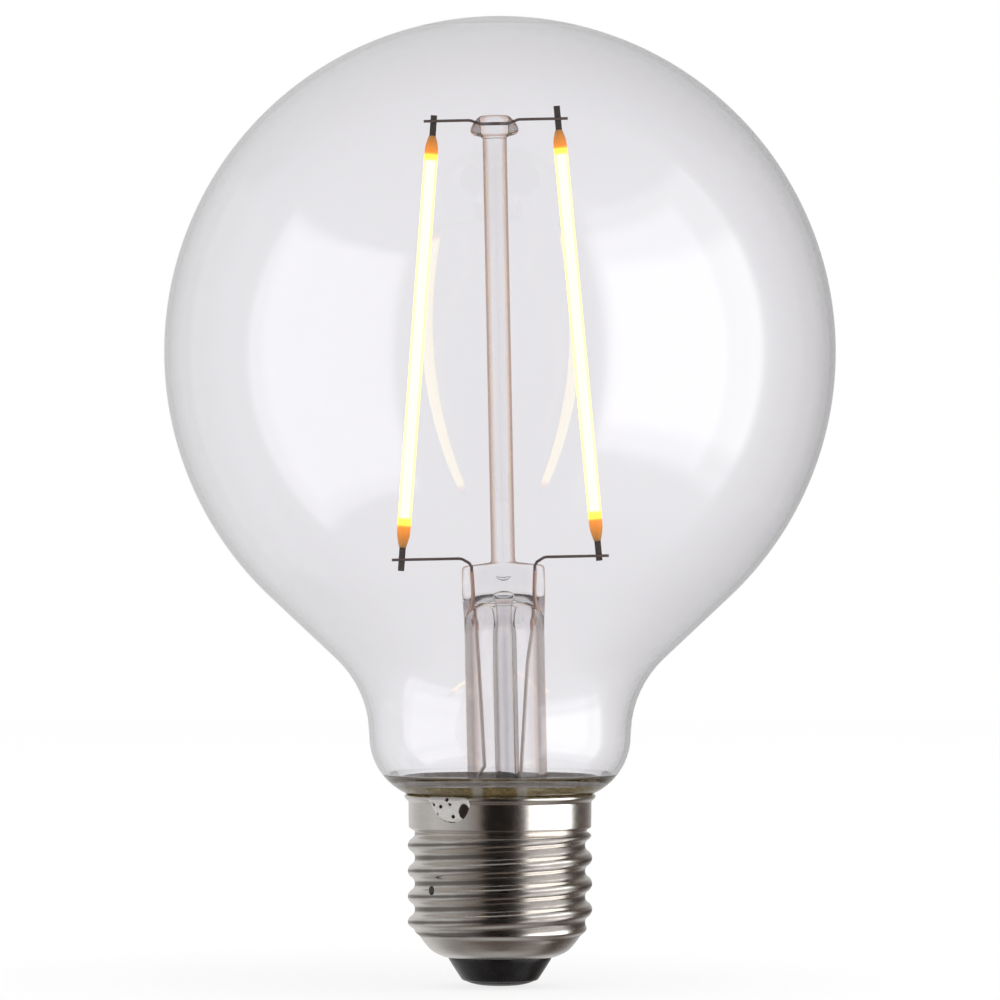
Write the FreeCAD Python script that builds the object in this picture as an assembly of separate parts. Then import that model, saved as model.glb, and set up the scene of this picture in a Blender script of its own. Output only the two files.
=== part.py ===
import FreeCAD, Part
import math
import os

# A clear LED filament globe lamp, G95 size with an E27 screw cap.
# Millimetres. The cap points down, +Z runs up the lamp's axis to the globe.
# The origin is the middle of the centre contact's flat face, the lowest point.

V = FreeCAD.Vector
UP = V(0, 0, 1)
ORIGIN = V(0, 0, 0)

# Glass globe and neck
GLOBE_R = 47.5
GLOBE_Z = 89.6
GLASS_WALL = 0.7
CONE_Z = 55.0            # the round globe turns into the neck's cone here
NECK_R = 18.5
NECK_FILLET = 15.0
SHOULDER_R = 9.0
SHOULDER_Z = 35.3
SHOULDER_FOOT = 27.0
SPIGOT_R = 12.3          # what goes into the cap
SPIGOT_TOP = 26.3
SPIGOT_FOOT = 22.8
SPIGOT_EDGE = 0.3
SPIGOT_WALL = 0.9
FLOOR_Z = 29.6           # lowest inside face of the sealed glass
FLOOR_EDGE = 0.8
FLANGE_THICK = 0.8
SEAM_R = 11.2            # where the envelope and the flare's flange are fused

# The mount: everything that stands on the flare leans a little
MOUNT_LEAN = 1.15
MOUNT_SHIFT = 1.05

# Flare tube and press
FLARE_R = 5.65
FLARE_BORE = 4.65
FLARE_SPREAD_R = 6.9     # the tube's foot spreads into the flange
FLARE_SPREAD = 1.6
FLARE_MOUTH_R = 6.0
PRESS_TOP = 59.6
PRESS_BASE = PRESS_TOP - 5.8
PRESS_R = 5.85
PRESS_THICK = 3.8
PRESS_EDGE = 0.7
FLATTEN_Z = PRESS_BASE - 4.3
BORE_TOP = PRESS_BASE - 3.2

# Exhaust tube
EXHAUST_R = 1.7
EXHAUST_BORE = 1.1
EXHAUST_TIP = 20.6
TIP_LENGTH = 2.6
EXHAUST_HOLE_R = 0.7
EXHAUST_HOLE_Z = PRESS_BASE - 1.4

# Wires
WIRE_R = 0.2
SEAL_WIRE_R = 0.25
OUTER_WIRE_R = 0.25
WIRE_BEND = 0.8
LEAD_Z = PRESS_TOP + 0.9
LEAD_END = 0.95          # a wire's end sticks out past the tab it is welded to
LEAD_PRESS_X = 4.4       # where the leads come out of the press
LEAD_RISE_X = 5.9
SEAL_FOOT_X = 4.0
SEAL_TOP = PRESS_TOP - 1.0
OUTER_X = (3.7, 3.15)    # left and right: high in the flare
OUTER_Z = BORE_TOP - 4.6
OUTER_LOW_X = (3.2, 2.0)
OUTER_LOW_Z = 31.0
SLEEVE_X = (4.1, 1.95)
SLEEVE_R = 0.7
SLEEVE_TOP = 29.1
SLEEVE_FOOT = 21.4

# Filaments: foot and head are the ends of the coating, out from the mount's axis
FILAMENT_LENGTH = 58.5
COAT_R = 0.95
COAT_END_R = 0.5
COAT_TAPER = 2.4
LEFT_FOOT_X = 14.2
LEFT_HEAD_X = 8.8
LEFT_FOOT_Z = LEAD_Z + 1.5
RIGHT_FOOT_X = 13.4
RIGHT_HEAD_X = 9.1
RIGHT_FOOT_Z = LEAD_Z + 2.4
STRIP_WIDTH = 0.8
STRIP_THICK = 0.4
STRIP_INSET = 1.2
CHIP_COUNT = 28
CHIP_LENGTH = 1.0
CHIP_WIDTH = 0.5
CHIP_THICK = 0.15
TAB_WIDTH = 0.9
TAB_THICK = 0.25
TAB_OUT = 3.1

# Bridge wire, pillar and button
BRIDGE_Z = LEFT_FOOT_Z + FILAMENT_LENGTH + 1.4
BRIDGE_RISE = 0.6
PILLAR_R = 1.7
BUTTON_R = 2.35
BUTTON_HEIGHT = 3.0
BUTTON_TOP = BRIDGE_Z + 1.2
BUTTON_EDGE = 0.9
LOBE_R = 1.45
LOBE_X = 1.95
LOBE_DROP = 0.75

# Screw cap
CAP_WALL = 0.3
RIM_R = 13.55
RIM_Z = 27.1
RIM_FLARE_Z = 26.2
SKIRT_R = 12.95
SKIRT_FOOT = 22.0
SKIRT_EDGE = 0.5
THREAD_ROOT_R = 12.05
THREAD_DEPTH = 1.0
THREAD_PITCH = 3.629
THREAD_START_Z = 7.12    # a crest crosses +X at this height
THREAD_FOOT = 7.4
THREAD_RUNOUT = 1.3
THREAD_SIDES = 24
THREAD_STATIONS = (-0.42, -0.27, -0.1, 0.1, 0.27, 0.42)
THREAD_SINK = 0.3
THREAD_LAP = 0.6         # the ridge ends this far up behind the skirt
THREAD_UNDER_SKIRT = 0.7
END_Z = 4.0
END_R = 7.6
END_BULGE = 0.45
PIN_HOLE_R = 0.42
PIN_HOLE_Z = 13.3
PIN_HOLE_ANGLE = 219.7

# Insulator and contact
INSULATOR_R = 7.4
INSULATOR_FOOT_R = 5.25
INSULATOR_FOOT_Z = 0.65
INSULATOR_FLOOR = 1.4
CONTACT_R = 4.9
CONTACT_FLAT_R = 2.6
CONTACT_THICK = 0.9
CONTACT_HOLE_R = 0.9
CENTRE_SOLDER_TOP = 2.2
CENTRE_SOLDER_R = 1.35

# Cement
CEMENT_INNER_R = 8.2

# Side solder and its wire
SOLDER_ANGLE = 236.3
SOLDER_WIDTH = 5.9
SOLDER_HEIGHT = 3.7
SOLDER_Z = 24.75
SOLDER_THICK = 0.95
SOLDER_CORNERS = 14
SIDE_WIRE_R = 0.15
SIDE_WIRE_FOOT = 23.6
SIDE_WIRE_START = 19.2
SIDE_WIRE_X = -6.4       # where it is soldered to the board

# Driver inside the cap
BOARD_WIDTH = 16.0
BOARD_THICK = 1.0
BOARD_FOOT = 7.6
BOARD_TOP = 19.8
LEAD_LAP = 2.2           # how far an outer lead reaches down the board's face
CAPACITOR_R = 3.15
CAPACITOR_LENGTH = 8.0
CAPACITOR_X = -2.2
CAPACITOR_Z = 12.2
CAN_EDGE = 0.4
RECTIFIER = (4.7, 2.4, 3.9)
RECTIFIER_X = 3.6
RECTIFIER_Z = 14.6
CHIP = (4.9, 1.5, 3.9)
CHIP_X = -3.6
CHIP_Z = 13.6
FUSE_R = 1.1
FUSE_LENGTH = 5.4
FUSE_X = 5.4
FUSE_Z = 13.0
FUSE_WIRE_R = 0.25
JOINT_R = 0.75
WIRE_GAP = 0.02          # room between a wire and what it lies along


# Small helpers
def revolve(edges):
    """A solid turned about the lamp's axis from a closed outline in the XZ plane."""
    face = Part.Face(Part.Wire(Part.__sortEdges__(edges)))
    return face.revolve(ORIGIN, UP, 360)


def outline(points):
    """Straight edges through the points (r, z), closed."""
    corners = [V(r, 0, z) for r, z in points]
    loop = zip(corners, corners[1:] + corners[:1])
    return [Part.makeLine(a, b) for a, b in loop if a.distanceToPoint(b) > 1e-6]


def turned(points):
    return revolve(outline(points))


def line(a, b):
    return Part.makeLine(V(a[0], 0, a[1]), V(b[0], 0, b[1]))


def arc(a, b, c):
    return Part.Arc(V(a[0], 0, a[1]), V(b[0], 0, b[1]), V(c[0], 0, c[1])).toShape()


def on_circle(centre, radius, degrees):
    """The point (r, z) of a circle in the XZ plane."""
    a = math.radians(degrees)
    return (centre[0] + radius * math.cos(a), centre[1] + radius * math.sin(a))


def rod(radius, start, end):
    way = end.sub(start)
    return Part.makeCylinder(radius, way.Length, start, way)


def block(size, centre):
    corner = centre.sub(V(*size).multiply(0.5))
    return Part.makeBox(size[0], size[1], size[2], corner)


def bend_points(before, corner, after, bend):
    """The two points between which a wire eases round a corner."""
    inward = before.sub(corner).normalize()
    onward = after.sub(corner).normalize()
    half = inward.getAngle(onward) / 2
    room = 0.45 * min(before.distanceToPoint(corner), after.distanceToPoint(corner))
    reach = min(bend / math.tan(half), room)
    return [corner + inward * reach, corner + onward * reach]


def bent_wire(points, radius, bend=WIRE_BEND):
    """A round wire swept through the points, each corner eased by a bend."""
    path = [points[0]]
    for before, corner, after in zip(points, points[1:], points[2:]):
        path += bend_points(before, corner, after, bend)
    path.append(points[-1])
    spine = Part.makePolygon(path)
    section = Part.Wire(Part.makeCircle(radius, path[0], path[1].sub(path[0])))
    return spine.makePipeShell([section], True, False, 1)


def leaned(shape):
    """Puts a piece of the mount, drawn upright, where the leaning mount has it."""
    placed = shape.copy()
    placed.rotate(V(0, 0, FLOOR_Z), V(0, 1, 0), -MOUNT_LEAN)
    placed.translate(V(MOUNT_SHIFT, 0, 0))
    return placed


def leaned_point(x, y, z):
    turn = FreeCAD.Rotation(V(0, 1, 0), -MOUNT_LEAN)
    pivot = V(0, 0, FLOOR_Z)
    return pivot + turn.multVec(V(x, y, z).sub(pivot)) + V(MOUNT_SHIFT, 0, 0)


# Where the wires lie: on the front of the tabs
WIRE_Y = -(TAB_THICK / 2 + WIRE_R)


# Glass envelope
def globe_profile(inset):
    """Edges of the globe, cone, neck and shoulder, from the top down to the floor or the spigot."""
    sphere = GLOBE_R - inset
    top = (0, GLOBE_Z + sphere)
    leave = math.degrees(math.asin((CONE_Z - GLOBE_Z) / GLOBE_R))
    sphere_end = on_circle((0, GLOBE_Z), sphere, leave)
    edges = [arc(top, on_circle((0, GLOBE_Z), sphere, (90 + leave) / 2), sphere_end)]

    # the cone leaves the globe at its own slope and meets the neck in a wide fillet
    lean = math.radians(-leave)
    fillet = NECK_FILLET + inset
    neck = NECK_R - inset
    corner_z = sphere_end[1] - (sphere_end[0] - neck) / math.tan(lean)
    reach = fillet * math.tan(lean / 2)
    cone_end = (neck + reach * math.sin(lean), corner_z + reach * math.cos(lean))
    centre = (neck + fillet, corner_z - reach)
    neck_top = (neck, corner_z - reach)
    middle = on_circle(centre, fillet, 180 - math.degrees(lean) / 2)
    edges.append(line(sphere_end, cone_end))
    edges.append(arc(cone_end, middle, neck_top))
    shoulder_top = (neck, SHOULDER_Z)
    if neck_top[1] - SHOULDER_Z > 0.01:
        edges.append(line(neck_top, shoulder_top))
    else:
        edges[-1] = arc(cone_end, middle, shoulder_top)
    return edges, shoulder_top, top


def spigot_points():
    return [
        (SPIGOT_R, SPIGOT_TOP), (SPIGOT_R, SPIGOT_FOOT + SPIGOT_EDGE),
        (SPIGOT_R - SPIGOT_EDGE, SPIGOT_FOOT),
    ]


def envelope_outside():
    """Full solid of the envelope's outside, down to the end of the spigot."""
    edges, shoulder_top, top = globe_profile(0)
    centre = (NECK_R - SHOULDER_R, SHOULDER_Z)
    # the shoulder runs in under the rim, then a short slope turns it down into the spigot
    angle = -math.degrees(math.asin((SHOULDER_Z - SHOULDER_FOOT) / SHOULDER_R))
    meet = on_circle(centre, SHOULDER_R, angle)
    edges.append(arc(shoulder_top, on_circle(centre, SHOULDER_R, angle / 2), meet))
    corners = [meet] + spigot_points() + [(0, SPIGOT_FOOT), top]
    edges += [line(a, b) for a, b in zip(corners, corners[1:])]
    return revolve(edges)


def envelope_inside():
    """The sealed space: the inset globe down to the flat floor of the fused foot."""
    edges, shoulder_top, top = globe_profile(GLASS_WALL)
    centre = (NECK_R - SHOULDER_R, SHOULDER_Z)
    radius = SHOULDER_R - GLASS_WALL
    # a short slope joins the shoulder's inside to the floor
    angle = -math.degrees(math.asin((SHOULDER_Z - FLOOR_Z - FLOOR_EDGE) / radius))
    meet = on_circle(centre, radius, angle)
    floor_end = (meet[0] - FLOOR_EDGE, FLOOR_Z)
    edges.append(arc(shoulder_top, on_circle(centre, radius, angle / 2), meet))
    edges.append(line(meet, floor_end))
    edges.append(line(floor_end, (0, FLOOR_Z)))
    edges.append(line((0, FLOOR_Z), top))
    return revolve(edges)


def foot_hollow():
    """The open space under the flange, inside the shoulder's foot and the spigot."""
    centre = (NECK_R - SHOULDER_R, SHOULDER_Z)
    radius = SHOULDER_R - GLASS_WALL
    spigot = SPIGOT_R - SPIGOT_WALL
    high = FLOOR_Z - FLANGE_THICK
    top = on_circle(centre, radius, -math.degrees(math.asin((SHOULDER_Z - high) / radius)))
    start = -math.degrees(math.acos((spigot + 1.0 - centre[0]) / radius))
    low = on_circle(centre, radius, start)
    edges = [arc(low, on_circle(centre, radius, 0.5 * start - 0.5 * math.degrees(
        math.asin((SHOULDER_Z - high) / radius))), top)]
    corners = [top, (0, high), (0, SPIGOT_FOOT - 1), (spigot, SPIGOT_FOOT - 1), (spigot, low[1] - 1.0), low]
    edges += [line(a, b) for a, b in zip(corners, corners[1:])]
    return revolve(edges)


def glass_envelope():
    seam = Part.makeCylinder(SEAM_R, FLOOR_Z - SPIGOT_FOOT + 1, V(0, 0, SPIGOT_FOOT - 0.5))
    return envelope_outside().cut(envelope_inside()).cut(foot_hollow()).cut(seam)


# Flare tube with its flange and its press
def flare_flange():
    """The disc that closes the envelope, as wide as the seam."""
    return Part.makeCylinder(SEAM_R, FLANGE_THICK, V(0, 0, FLOOR_Z - FLANGE_THICK))


def flare_tube():
    """The tube's outside, with its foot spread into the flange."""
    foot = FLOOR_Z - FLANGE_THICK / 2
    return turned([
        (0, foot), (FLARE_SPREAD_R, foot), (FLARE_R, FLOOR_Z + FLARE_SPREAD), (FLARE_R, FLATTEN_Z),
        (0, FLATTEN_Z),
    ])


def press():
    """The tube's end, flattened between two jaws."""
    round_part = Part.makeCylinder(PRESS_R, PRESS_TOP - FLATTEN_Z, V(0, 0, FLATTEN_Z))
    half = PRESS_THICK / 2
    side = [
        V(0, -PRESS_R, FLATTEN_Z), V(0, -half, PRESS_BASE), V(0, -half, PRESS_TOP),
        V(0, half, PRESS_TOP), V(0, half, PRESS_BASE), V(0, PRESS_R, FLATTEN_Z),
    ]
    face = Part.Face(Part.makePolygon(side + side[:1]))
    face.translate(V(-PRESS_R - 1, 0, 0))
    jaws = face.extrude(V(2 * PRESS_R + 2, 0, 0))
    flat = round_part.common(jaws).removeSplitter()
    top_edges = [
        e for e in flat.Edges
        if abs(e.BoundBox.ZMin - PRESS_TOP) < 0.01 and abs(e.BoundBox.ZMax - PRESS_TOP) < 0.01
    ]
    return flat.makeChamfer(PRESS_EDGE, top_edges)


def flare_bore():
    """Inside of the flare tube: a wide mouth, then straight, with a round end under the press."""
    low = FLOOR_Z - FLANGE_THICK - 0.3
    straight = turned([
        (0, low), (FLARE_MOUTH_R, low), (FLARE_BORE, low + FLARE_SPREAD), (FLARE_BORE, BORE_TOP),
        (0, BORE_TOP),
    ])
    dome = Part.makeSphere(FLARE_BORE * 1.6, V(0, 0, BORE_TOP - FLARE_BORE * 1.25))
    column = Part.makeCylinder(FLARE_BORE, 2 * FLARE_BORE, V(0, 0, BORE_TOP))
    return straight.fuse(dome.common(column))


def stem_flare():
    stem = leaned(flare_tube().fuse(press()))
    body = flare_flange().fuse(stem).cut(leaned(flare_bore())).removeSplitter()
    holes = [leaned(exhaust_way()), leaned(exhaust_hole()), seal_wire(-1), seal_wire(1)]
    holes += [inner_lead(-1), inner_lead(1)]
    return body.cut(holes)


# Exhaust tube, tipped off below
def exhaust_top():
    return EXHAUST_HOLE_Z + EXHAUST_HOLE_R


def exhaust_way():
    """Room in the press's foot for the exhaust tube's fused end."""
    return Part.makeCylinder(EXHAUST_R, exhaust_top() - FLATTEN_Z, V(0, 0, FLATTEN_Z))


def exhaust_hole():
    """The small blown hole through which the lamp was pumped and filled."""
    return rod(EXHAUST_HOLE_R, V(0, -PRESS_R - 1, EXHAUST_HOLE_Z), V(0, 0, EXHAUST_HOLE_Z))


def exhaust_tube():
    top = exhaust_top()
    neck_z = EXHAUST_TIP + TIP_LENGTH
    outside = turned([
        (0, EXHAUST_TIP), (0.35 * EXHAUST_R, EXHAUST_TIP + 0.1 * TIP_LENGTH), (EXHAUST_R, neck_z),
        (EXHAUST_R, top), (0, top),
    ])
    wall = EXHAUST_R - EXHAUST_BORE
    bore = turned([
        (0, neck_z - 0.4 * TIP_LENGTH), (EXHAUST_BORE, neck_z), (EXHAUST_BORE, top - wall),
        (0, top - wall),
    ])
    return leaned(outside.cut(bore).cut(exhaust_hole()))


# Pillar with its button
def support_pillar():
    button_foot = BUTTON_TOP - BUTTON_HEIGHT
    pillar = Part.makeCylinder(PILLAR_R, button_foot - PRESS_TOP + 0.5, V(0, 0, PRESS_TOP))
    near = BUTTON_R - BUTTON_EDGE
    button = turned([
        (0, button_foot), (near, button_foot), (BUTTON_R, button_foot + BUTTON_EDGE),
        (BUTTON_R, BUTTON_TOP - BUTTON_EDGE), (near, BUTTON_TOP), (0, BUTTON_TOP),
    ])
    lobe_z = BRIDGE_Z - LOBE_DROP
    lobes = [Part.makeSphere(LOBE_R, V(side * LOBE_X, 0, lobe_z)) for side in (-1, 1)]
    glass = pillar.fuse([button] + lobes)
    return leaned(glass).cut(bridge_wire()).removeSplitter()


# Filaments: built upright from the coating's foot, then set between the wires
def filament_ends(side):
    if side < 0:
        return (-LEFT_FOOT_X, LEFT_FOOT_Z), -LEFT_HEAD_X
    return (RIGHT_FOOT_X, RIGHT_FOOT_Z), RIGHT_HEAD_X


def filament_tilt(side):
    """How far a filament tips from the mount's axis, in degrees about Y."""
    foot, head_x = filament_ends(side)
    return math.degrees(math.asin((head_x - foot[0]) / FILAMENT_LENGTH))


def set_filament(shape, side):
    foot, _ = filament_ends(side)
    placed = shape.copy()
    placed.rotate(ORIGIN, V(0, 1, 0), filament_tilt(side))
    placed.translate(V(foot[0], 0, foot[1]))
    return leaned(placed)


def filament_x(side, z):
    """How far out from the mount's axis a filament is at a height."""
    foot, _ = filament_ends(side)
    return foot[0] + (z - foot[1]) * math.tan(math.radians(filament_tilt(side)))


def plain_strip():
    length = FILAMENT_LENGTH - 2 * STRIP_INSET
    return block((STRIP_WIDTH, STRIP_THICK, length), V(0, 0, FILAMENT_LENGTH / 2))


def plain_chips():
    pitch = (FILAMENT_LENGTH - 2 * COAT_TAPER) / CHIP_COUNT
    y = -(STRIP_THICK + CHIP_THICK) / 2
    size = (CHIP_WIDTH, CHIP_THICK, CHIP_LENGTH)
    return Part.makeCompound([
        block(size, V(0, y, COAT_TAPER + (i + 0.5) * pitch)) for i in range(CHIP_COUNT)
    ])


def plain_tab(end):
    """A tab from the strip's end out of the coating; end 0 is the foot, 1 the head."""
    length = TAB_OUT + STRIP_INSET
    z = length / 2 - TAB_OUT
    if end:
        z = FILAMENT_LENGTH - z
    return block((TAB_WIDTH, TAB_THICK, length), V(0, 0, z))


def plain_coating():
    length = FILAMENT_LENGTH
    body = turned([
        (0, 0), (COAT_END_R, 0), (COAT_R, COAT_TAPER), (COAT_R, length - COAT_TAPER),
        (COAT_END_R, length), (0, length),
    ])
    return body.cut([plain_strip(), plain_tab(0), plain_tab(1)] + plain_chips().Solids)


# Wires
def bridge_wire():
    rise = BRIDGE_Z + BRIDGE_RISE
    left = filament_x(-1, rise) - TAB_WIDTH / 2 - LEAD_END
    right = filament_x(1, rise) + TAB_WIDTH / 2 + LEAD_END
    bend_x = LOBE_X + LOBE_R
    points = [(left, rise), (-bend_x, rise), (-LOBE_X, BRIDGE_Z), (LOBE_X, BRIDGE_Z), (bend_x, rise)]
    points.append((right, rise))
    return bent_wire([leaned_point(x, WIRE_Y, z) for x, z in points], WIRE_R)


def inner_lead(side):
    end = filament_x(side, LEAD_Z) + side * (TAB_WIDTH / 2 + LEAD_END)
    points = [(side * LEAD_PRESS_X, SEAL_TOP), (side * LEAD_PRESS_X, PRESS_TOP)]
    points += [(side * LEAD_RISE_X, LEAD_Z), (end, LEAD_Z)]
    return bent_wire([leaned_point(x, WIRE_Y, z) for x, z in points], WIRE_R)


def seal_wire(side):
    top = leaned_point(side * LEAD_PRESS_X, WIRE_Y, SEAL_TOP)
    foot = leaned_point(side * SEAL_FOOT_X, WIRE_Y, BORE_TOP)
    return rod(SEAL_WIRE_R, foot, top)


def outer_lead_points(side):
    """Down the flare, through the sleeve and on to the front face of the driver board."""
    which = 0 if side < 0 else 1
    board_y = -BOARD_THICK / 2 - OUTER_WIRE_R - WIRE_GAP
    sleeve_x = side * SLEEVE_X[which]
    x = leaned_point(sleeve_x, 0, BOARD_TOP).x
    return [
        leaned_point(side * SEAL_FOOT_X, WIRE_Y, BORE_TOP),
        leaned_point(side * OUTER_X[which], WIRE_Y, OUTER_Z),
        leaned_point(side * OUTER_LOW_X[which], WIRE_Y, OUTER_LOW_Z),
        leaned_point(sleeve_x, WIRE_Y, SLEEVE_TOP + 0.4),
        leaned_point(sleeve_x, WIRE_Y, SLEEVE_FOOT),
        V(x, board_y, BOARD_TOP),
        V(x, board_y, BOARD_TOP - LEAD_LAP),
    ]


def outer_lead(side):
    return bent_wire(outer_lead_points(side), OUTER_WIRE_R, 0.3)


def lead_sleeve(side):
    sleeve_x = side * SLEEVE_X[0 if side < 0 else 1]
    top = leaned_point(sleeve_x, WIRE_Y, SLEEVE_TOP)
    foot = leaned_point(sleeve_x, WIRE_Y, SLEEVE_FOOT + WIRE_BEND)
    return rod(SLEEVE_R, foot, top).cut(rod(OUTER_WIRE_R, foot, top))


# Screw shell
def thread_height(turns):
    """Height above the root, a share of a turn from a crest: two round arcs that meet halfway."""
    reach = THREAD_PITCH / 4
    radius = (reach ** 2 + (THREAD_DEPTH / 2) ** 2) / THREAD_DEPTH
    away = abs((turns + 0.5) % 1 - 0.5) * THREAD_PITCH
    if away < reach:
        return THREAD_DEPTH - radius + math.sqrt(radius ** 2 - away ** 2)
    return radius - math.sqrt(radius ** 2 - (2 * reach - away) ** 2)


def ridge_section(z, angle, inset):
    """The ridge's section at one step of the helix, sunk into the core where the thread runs out."""
    fade = min(1.0, max(0.0, (z - THREAD_FOOT) / THREAD_RUNOUT))
    if z > SKIRT_FOOT:
        fade = THREAD_UNDER_SKIRT
    root = THREAD_ROOT_R - inset
    profile = [
        (root + fade * thread_height(t) - (1 - fade) * THREAD_SINK / 2, t * THREAD_PITCH)
        for t in THREAD_STATIONS
    ]
    low = root - THREAD_SINK
    profile = [(low, profile[0][1])] + profile + [(low, profile[-1][1])]
    corners = [V(r * math.cos(angle), r * math.sin(angle), z + dz) for r, dz in profile]
    return Part.makePolygon(corners + corners[:1])


def thread_ridge(inset):
    """The rolled ridge: its section stepped round the helix and lofted with straight facets."""
    step = THREAD_PITCH / THREAD_SIDES
    first = math.floor((THREAD_FOOT - THREAD_START_Z) / step)
    last = math.ceil((SKIRT_FOOT + THREAD_LAP - THREAD_START_Z) / step)
    turn = 2 * math.pi / THREAD_SIDES
    steps = range(first, last + 1)
    sections = [ridge_section(THREAD_START_Z + step * i, turn * i, inset) for i in steps]
    return Part.makeLoft(sections, True, True)


def thread_core(inset):
    """A prism whose corners lie at the helix's steps."""
    r = THREAD_ROOT_R - inset
    turn = 2 * math.pi / THREAD_SIDES
    ring = [V(r * math.cos(turn * i), r * math.sin(turn * i), THREAD_FOOT) for i in range(THREAD_SIDES)]
    face = Part.Face(Part.makePolygon(ring + ring[:1]))
    return face.extrude(V(0, 0, SKIRT_FOOT - THREAD_FOOT))


def skirt_body(inset):
    """Skirt with its flared rim; inset gives the inside."""
    r = SKIRT_R - inset
    low = SKIRT_FOOT + inset
    points = [(0, low), (r - SKIRT_EDGE, low), (r, low + SKIRT_EDGE), (r, RIM_FLARE_Z)]
    points += [(RIM_R - inset, RIM_Z), (0, RIM_Z)]
    return turned(points)


def skirt_hollow():
    """The skirt's inside, open at the rim and joined to the thread's inside."""
    mouth_r = RIM_R - CAP_WALL
    throat_r = (THREAD_ROOT_R - CAP_WALL) * math.cos(math.pi / THREAD_SIDES) - 0.05
    mouth = Part.makeCylinder(mouth_r, 1, V(0, 0, RIM_Z))
    throat = Part.makeCylinder(throat_r, 2 * CAP_WALL, V(0, 0, SKIRT_FOOT - CAP_WALL / 2))
    return skirt_body(CAP_WALL).fuse([mouth, throat])


def end_body(inset):
    """The rounded end below the thread."""
    top = (THREAD_ROOT_R - inset, THREAD_FOOT)
    foot = (END_R, END_Z + inset)
    middle = ((top[0] + foot[0]) / 2 + END_BULGE, (top[1] + foot[1]) / 2 - END_BULGE)
    if inset:
        return turned([(0, THREAD_FOOT), top, middle, foot, (0, foot[1])])
    edges = [line((0, THREAD_FOOT), top), arc(top, middle, foot)]
    edges += [line(foot, (0, END_Z)), line((0, END_Z), (0, THREAD_FOOT))]
    return revolve(edges)


def pin_hole():
    a = math.radians(PIN_HOLE_ANGLE)
    way = V(math.cos(a), math.sin(a), 0)
    return rod(PIN_HOLE_R, way * (THREAD_ROOT_R - 2) + V(0, 0, PIN_HOLE_Z),
               way * (SKIRT_R + 1) + V(0, 0, PIN_HOLE_Z))


def screw_shell():
    outside = thread_core(0).fuse([thread_ridge(0), skirt_body(0), end_body(0)])
    inside = thread_core(CAP_WALL).fuse([thread_ridge(CAP_WALL), skirt_hollow(), end_body(CAP_WALL)])
    mouth = Part.makeCylinder(INSULATOR_R, 2, V(0, 0, END_Z - 1))
    return outside.cut(inside).cut(mouth).cut(pin_hole())


# Cement
def cap_cement():
    """Squeezed up round the spigot to the rim, and inside it to the flange."""
    r = SKIRT_R - CAP_WALL
    seat = SKIRT_FOOT + CAP_WALL
    ring = turned([
        (CEMENT_INNER_R, seat), (r - SKIRT_EDGE, seat), (r, seat + SKIRT_EDGE), (r, RIM_FLARE_Z),
        (RIM_R - CAP_WALL, RIM_Z), (CEMENT_INNER_R, RIM_Z),
    ])
    inside = foot_hollow()
    middle = Part.makeCylinder(CEMENT_INNER_R, FLOOR_Z - seat, V(0, 0, seat))
    below = Part.makeCylinder(SPIGOT_R, seat - SPIGOT_FOOT + 2, V(0, 0, SPIGOT_FOOT - 2))
    fill = inside.cut([middle, below])
    return ring.cut(envelope_outside()).fuse(fill).cut(side_wire()).removeSplitter()


# Insulator, contact and centre solder
def cap_insulator():
    inner_top = END_Z + CAP_WALL
    wide = END_R + 1.4
    body = turned([
        (0, INSULATOR_FOOT_Z), (INSULATOR_FOOT_R, INSULATOR_FOOT_Z), (INSULATOR_R, END_Z),
        (INSULATOR_R, inner_top), (END_R, inner_top), (wide, inner_top + 0.55),
        (wide, inner_top + INSULATOR_FLOOR), (0, inner_top + INSULATOR_FLOOR),
    ])
    hole = Part.makeCylinder(CENTRE_SOLDER_R, 2 * END_Z, ORIGIN)
    return body.cut(hole).cut(contact_blank())


def contact_blank():
    """The contact plate without its hole: a shallow dish that bulges down to a flat."""
    rim_z = INSULATOR_FOOT_Z
    inside = CONTACT_R - 0.6
    return turned([
        (0, 0), (CONTACT_FLAT_R, 0), (0.82 * CONTACT_R, 0.42 * rim_z), (CONTACT_R, rim_z),
        (CONTACT_R, rim_z + 0.15), (inside, CONTACT_THICK), (0, CONTACT_THICK),
    ])


def centre_contact():
    return contact_blank().cut(Part.makeCylinder(CONTACT_HOLE_R, 2 * CONTACT_THICK, V(0, 0, -0.1)))


def centre_solder():
    plug = Part.makeCylinder(CONTACT_HOLE_R, CONTACT_THICK, ORIGIN)
    mound = turned([
        (0, CONTACT_THICK), (CENTRE_SOLDER_R, CONTACT_THICK),
        (CENTRE_SOLDER_R, (CONTACT_THICK + CENTRE_SOLDER_TOP) / 2), (0, CENTRE_SOLDER_TOP),
    ])
    return plug.fuse(mound).cut(fuse_leads()).removeSplitter()


# Side solder and its wire
def side_point(r, z):
    a = math.radians(SOLDER_ANGLE)
    return V(r * math.cos(a), r * math.sin(a), z)


def side_wire_foot():
    """Its two lowest points, along the board's front face."""
    y = -BOARD_THICK / 2 - SIDE_WIRE_R - WIRE_GAP
    return [V(SIDE_WIRE_X, y, BOARD_TOP - LEAD_LAP), V(SIDE_WIRE_X, y, BOARD_TOP - LEAD_LAP / 4)]


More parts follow.
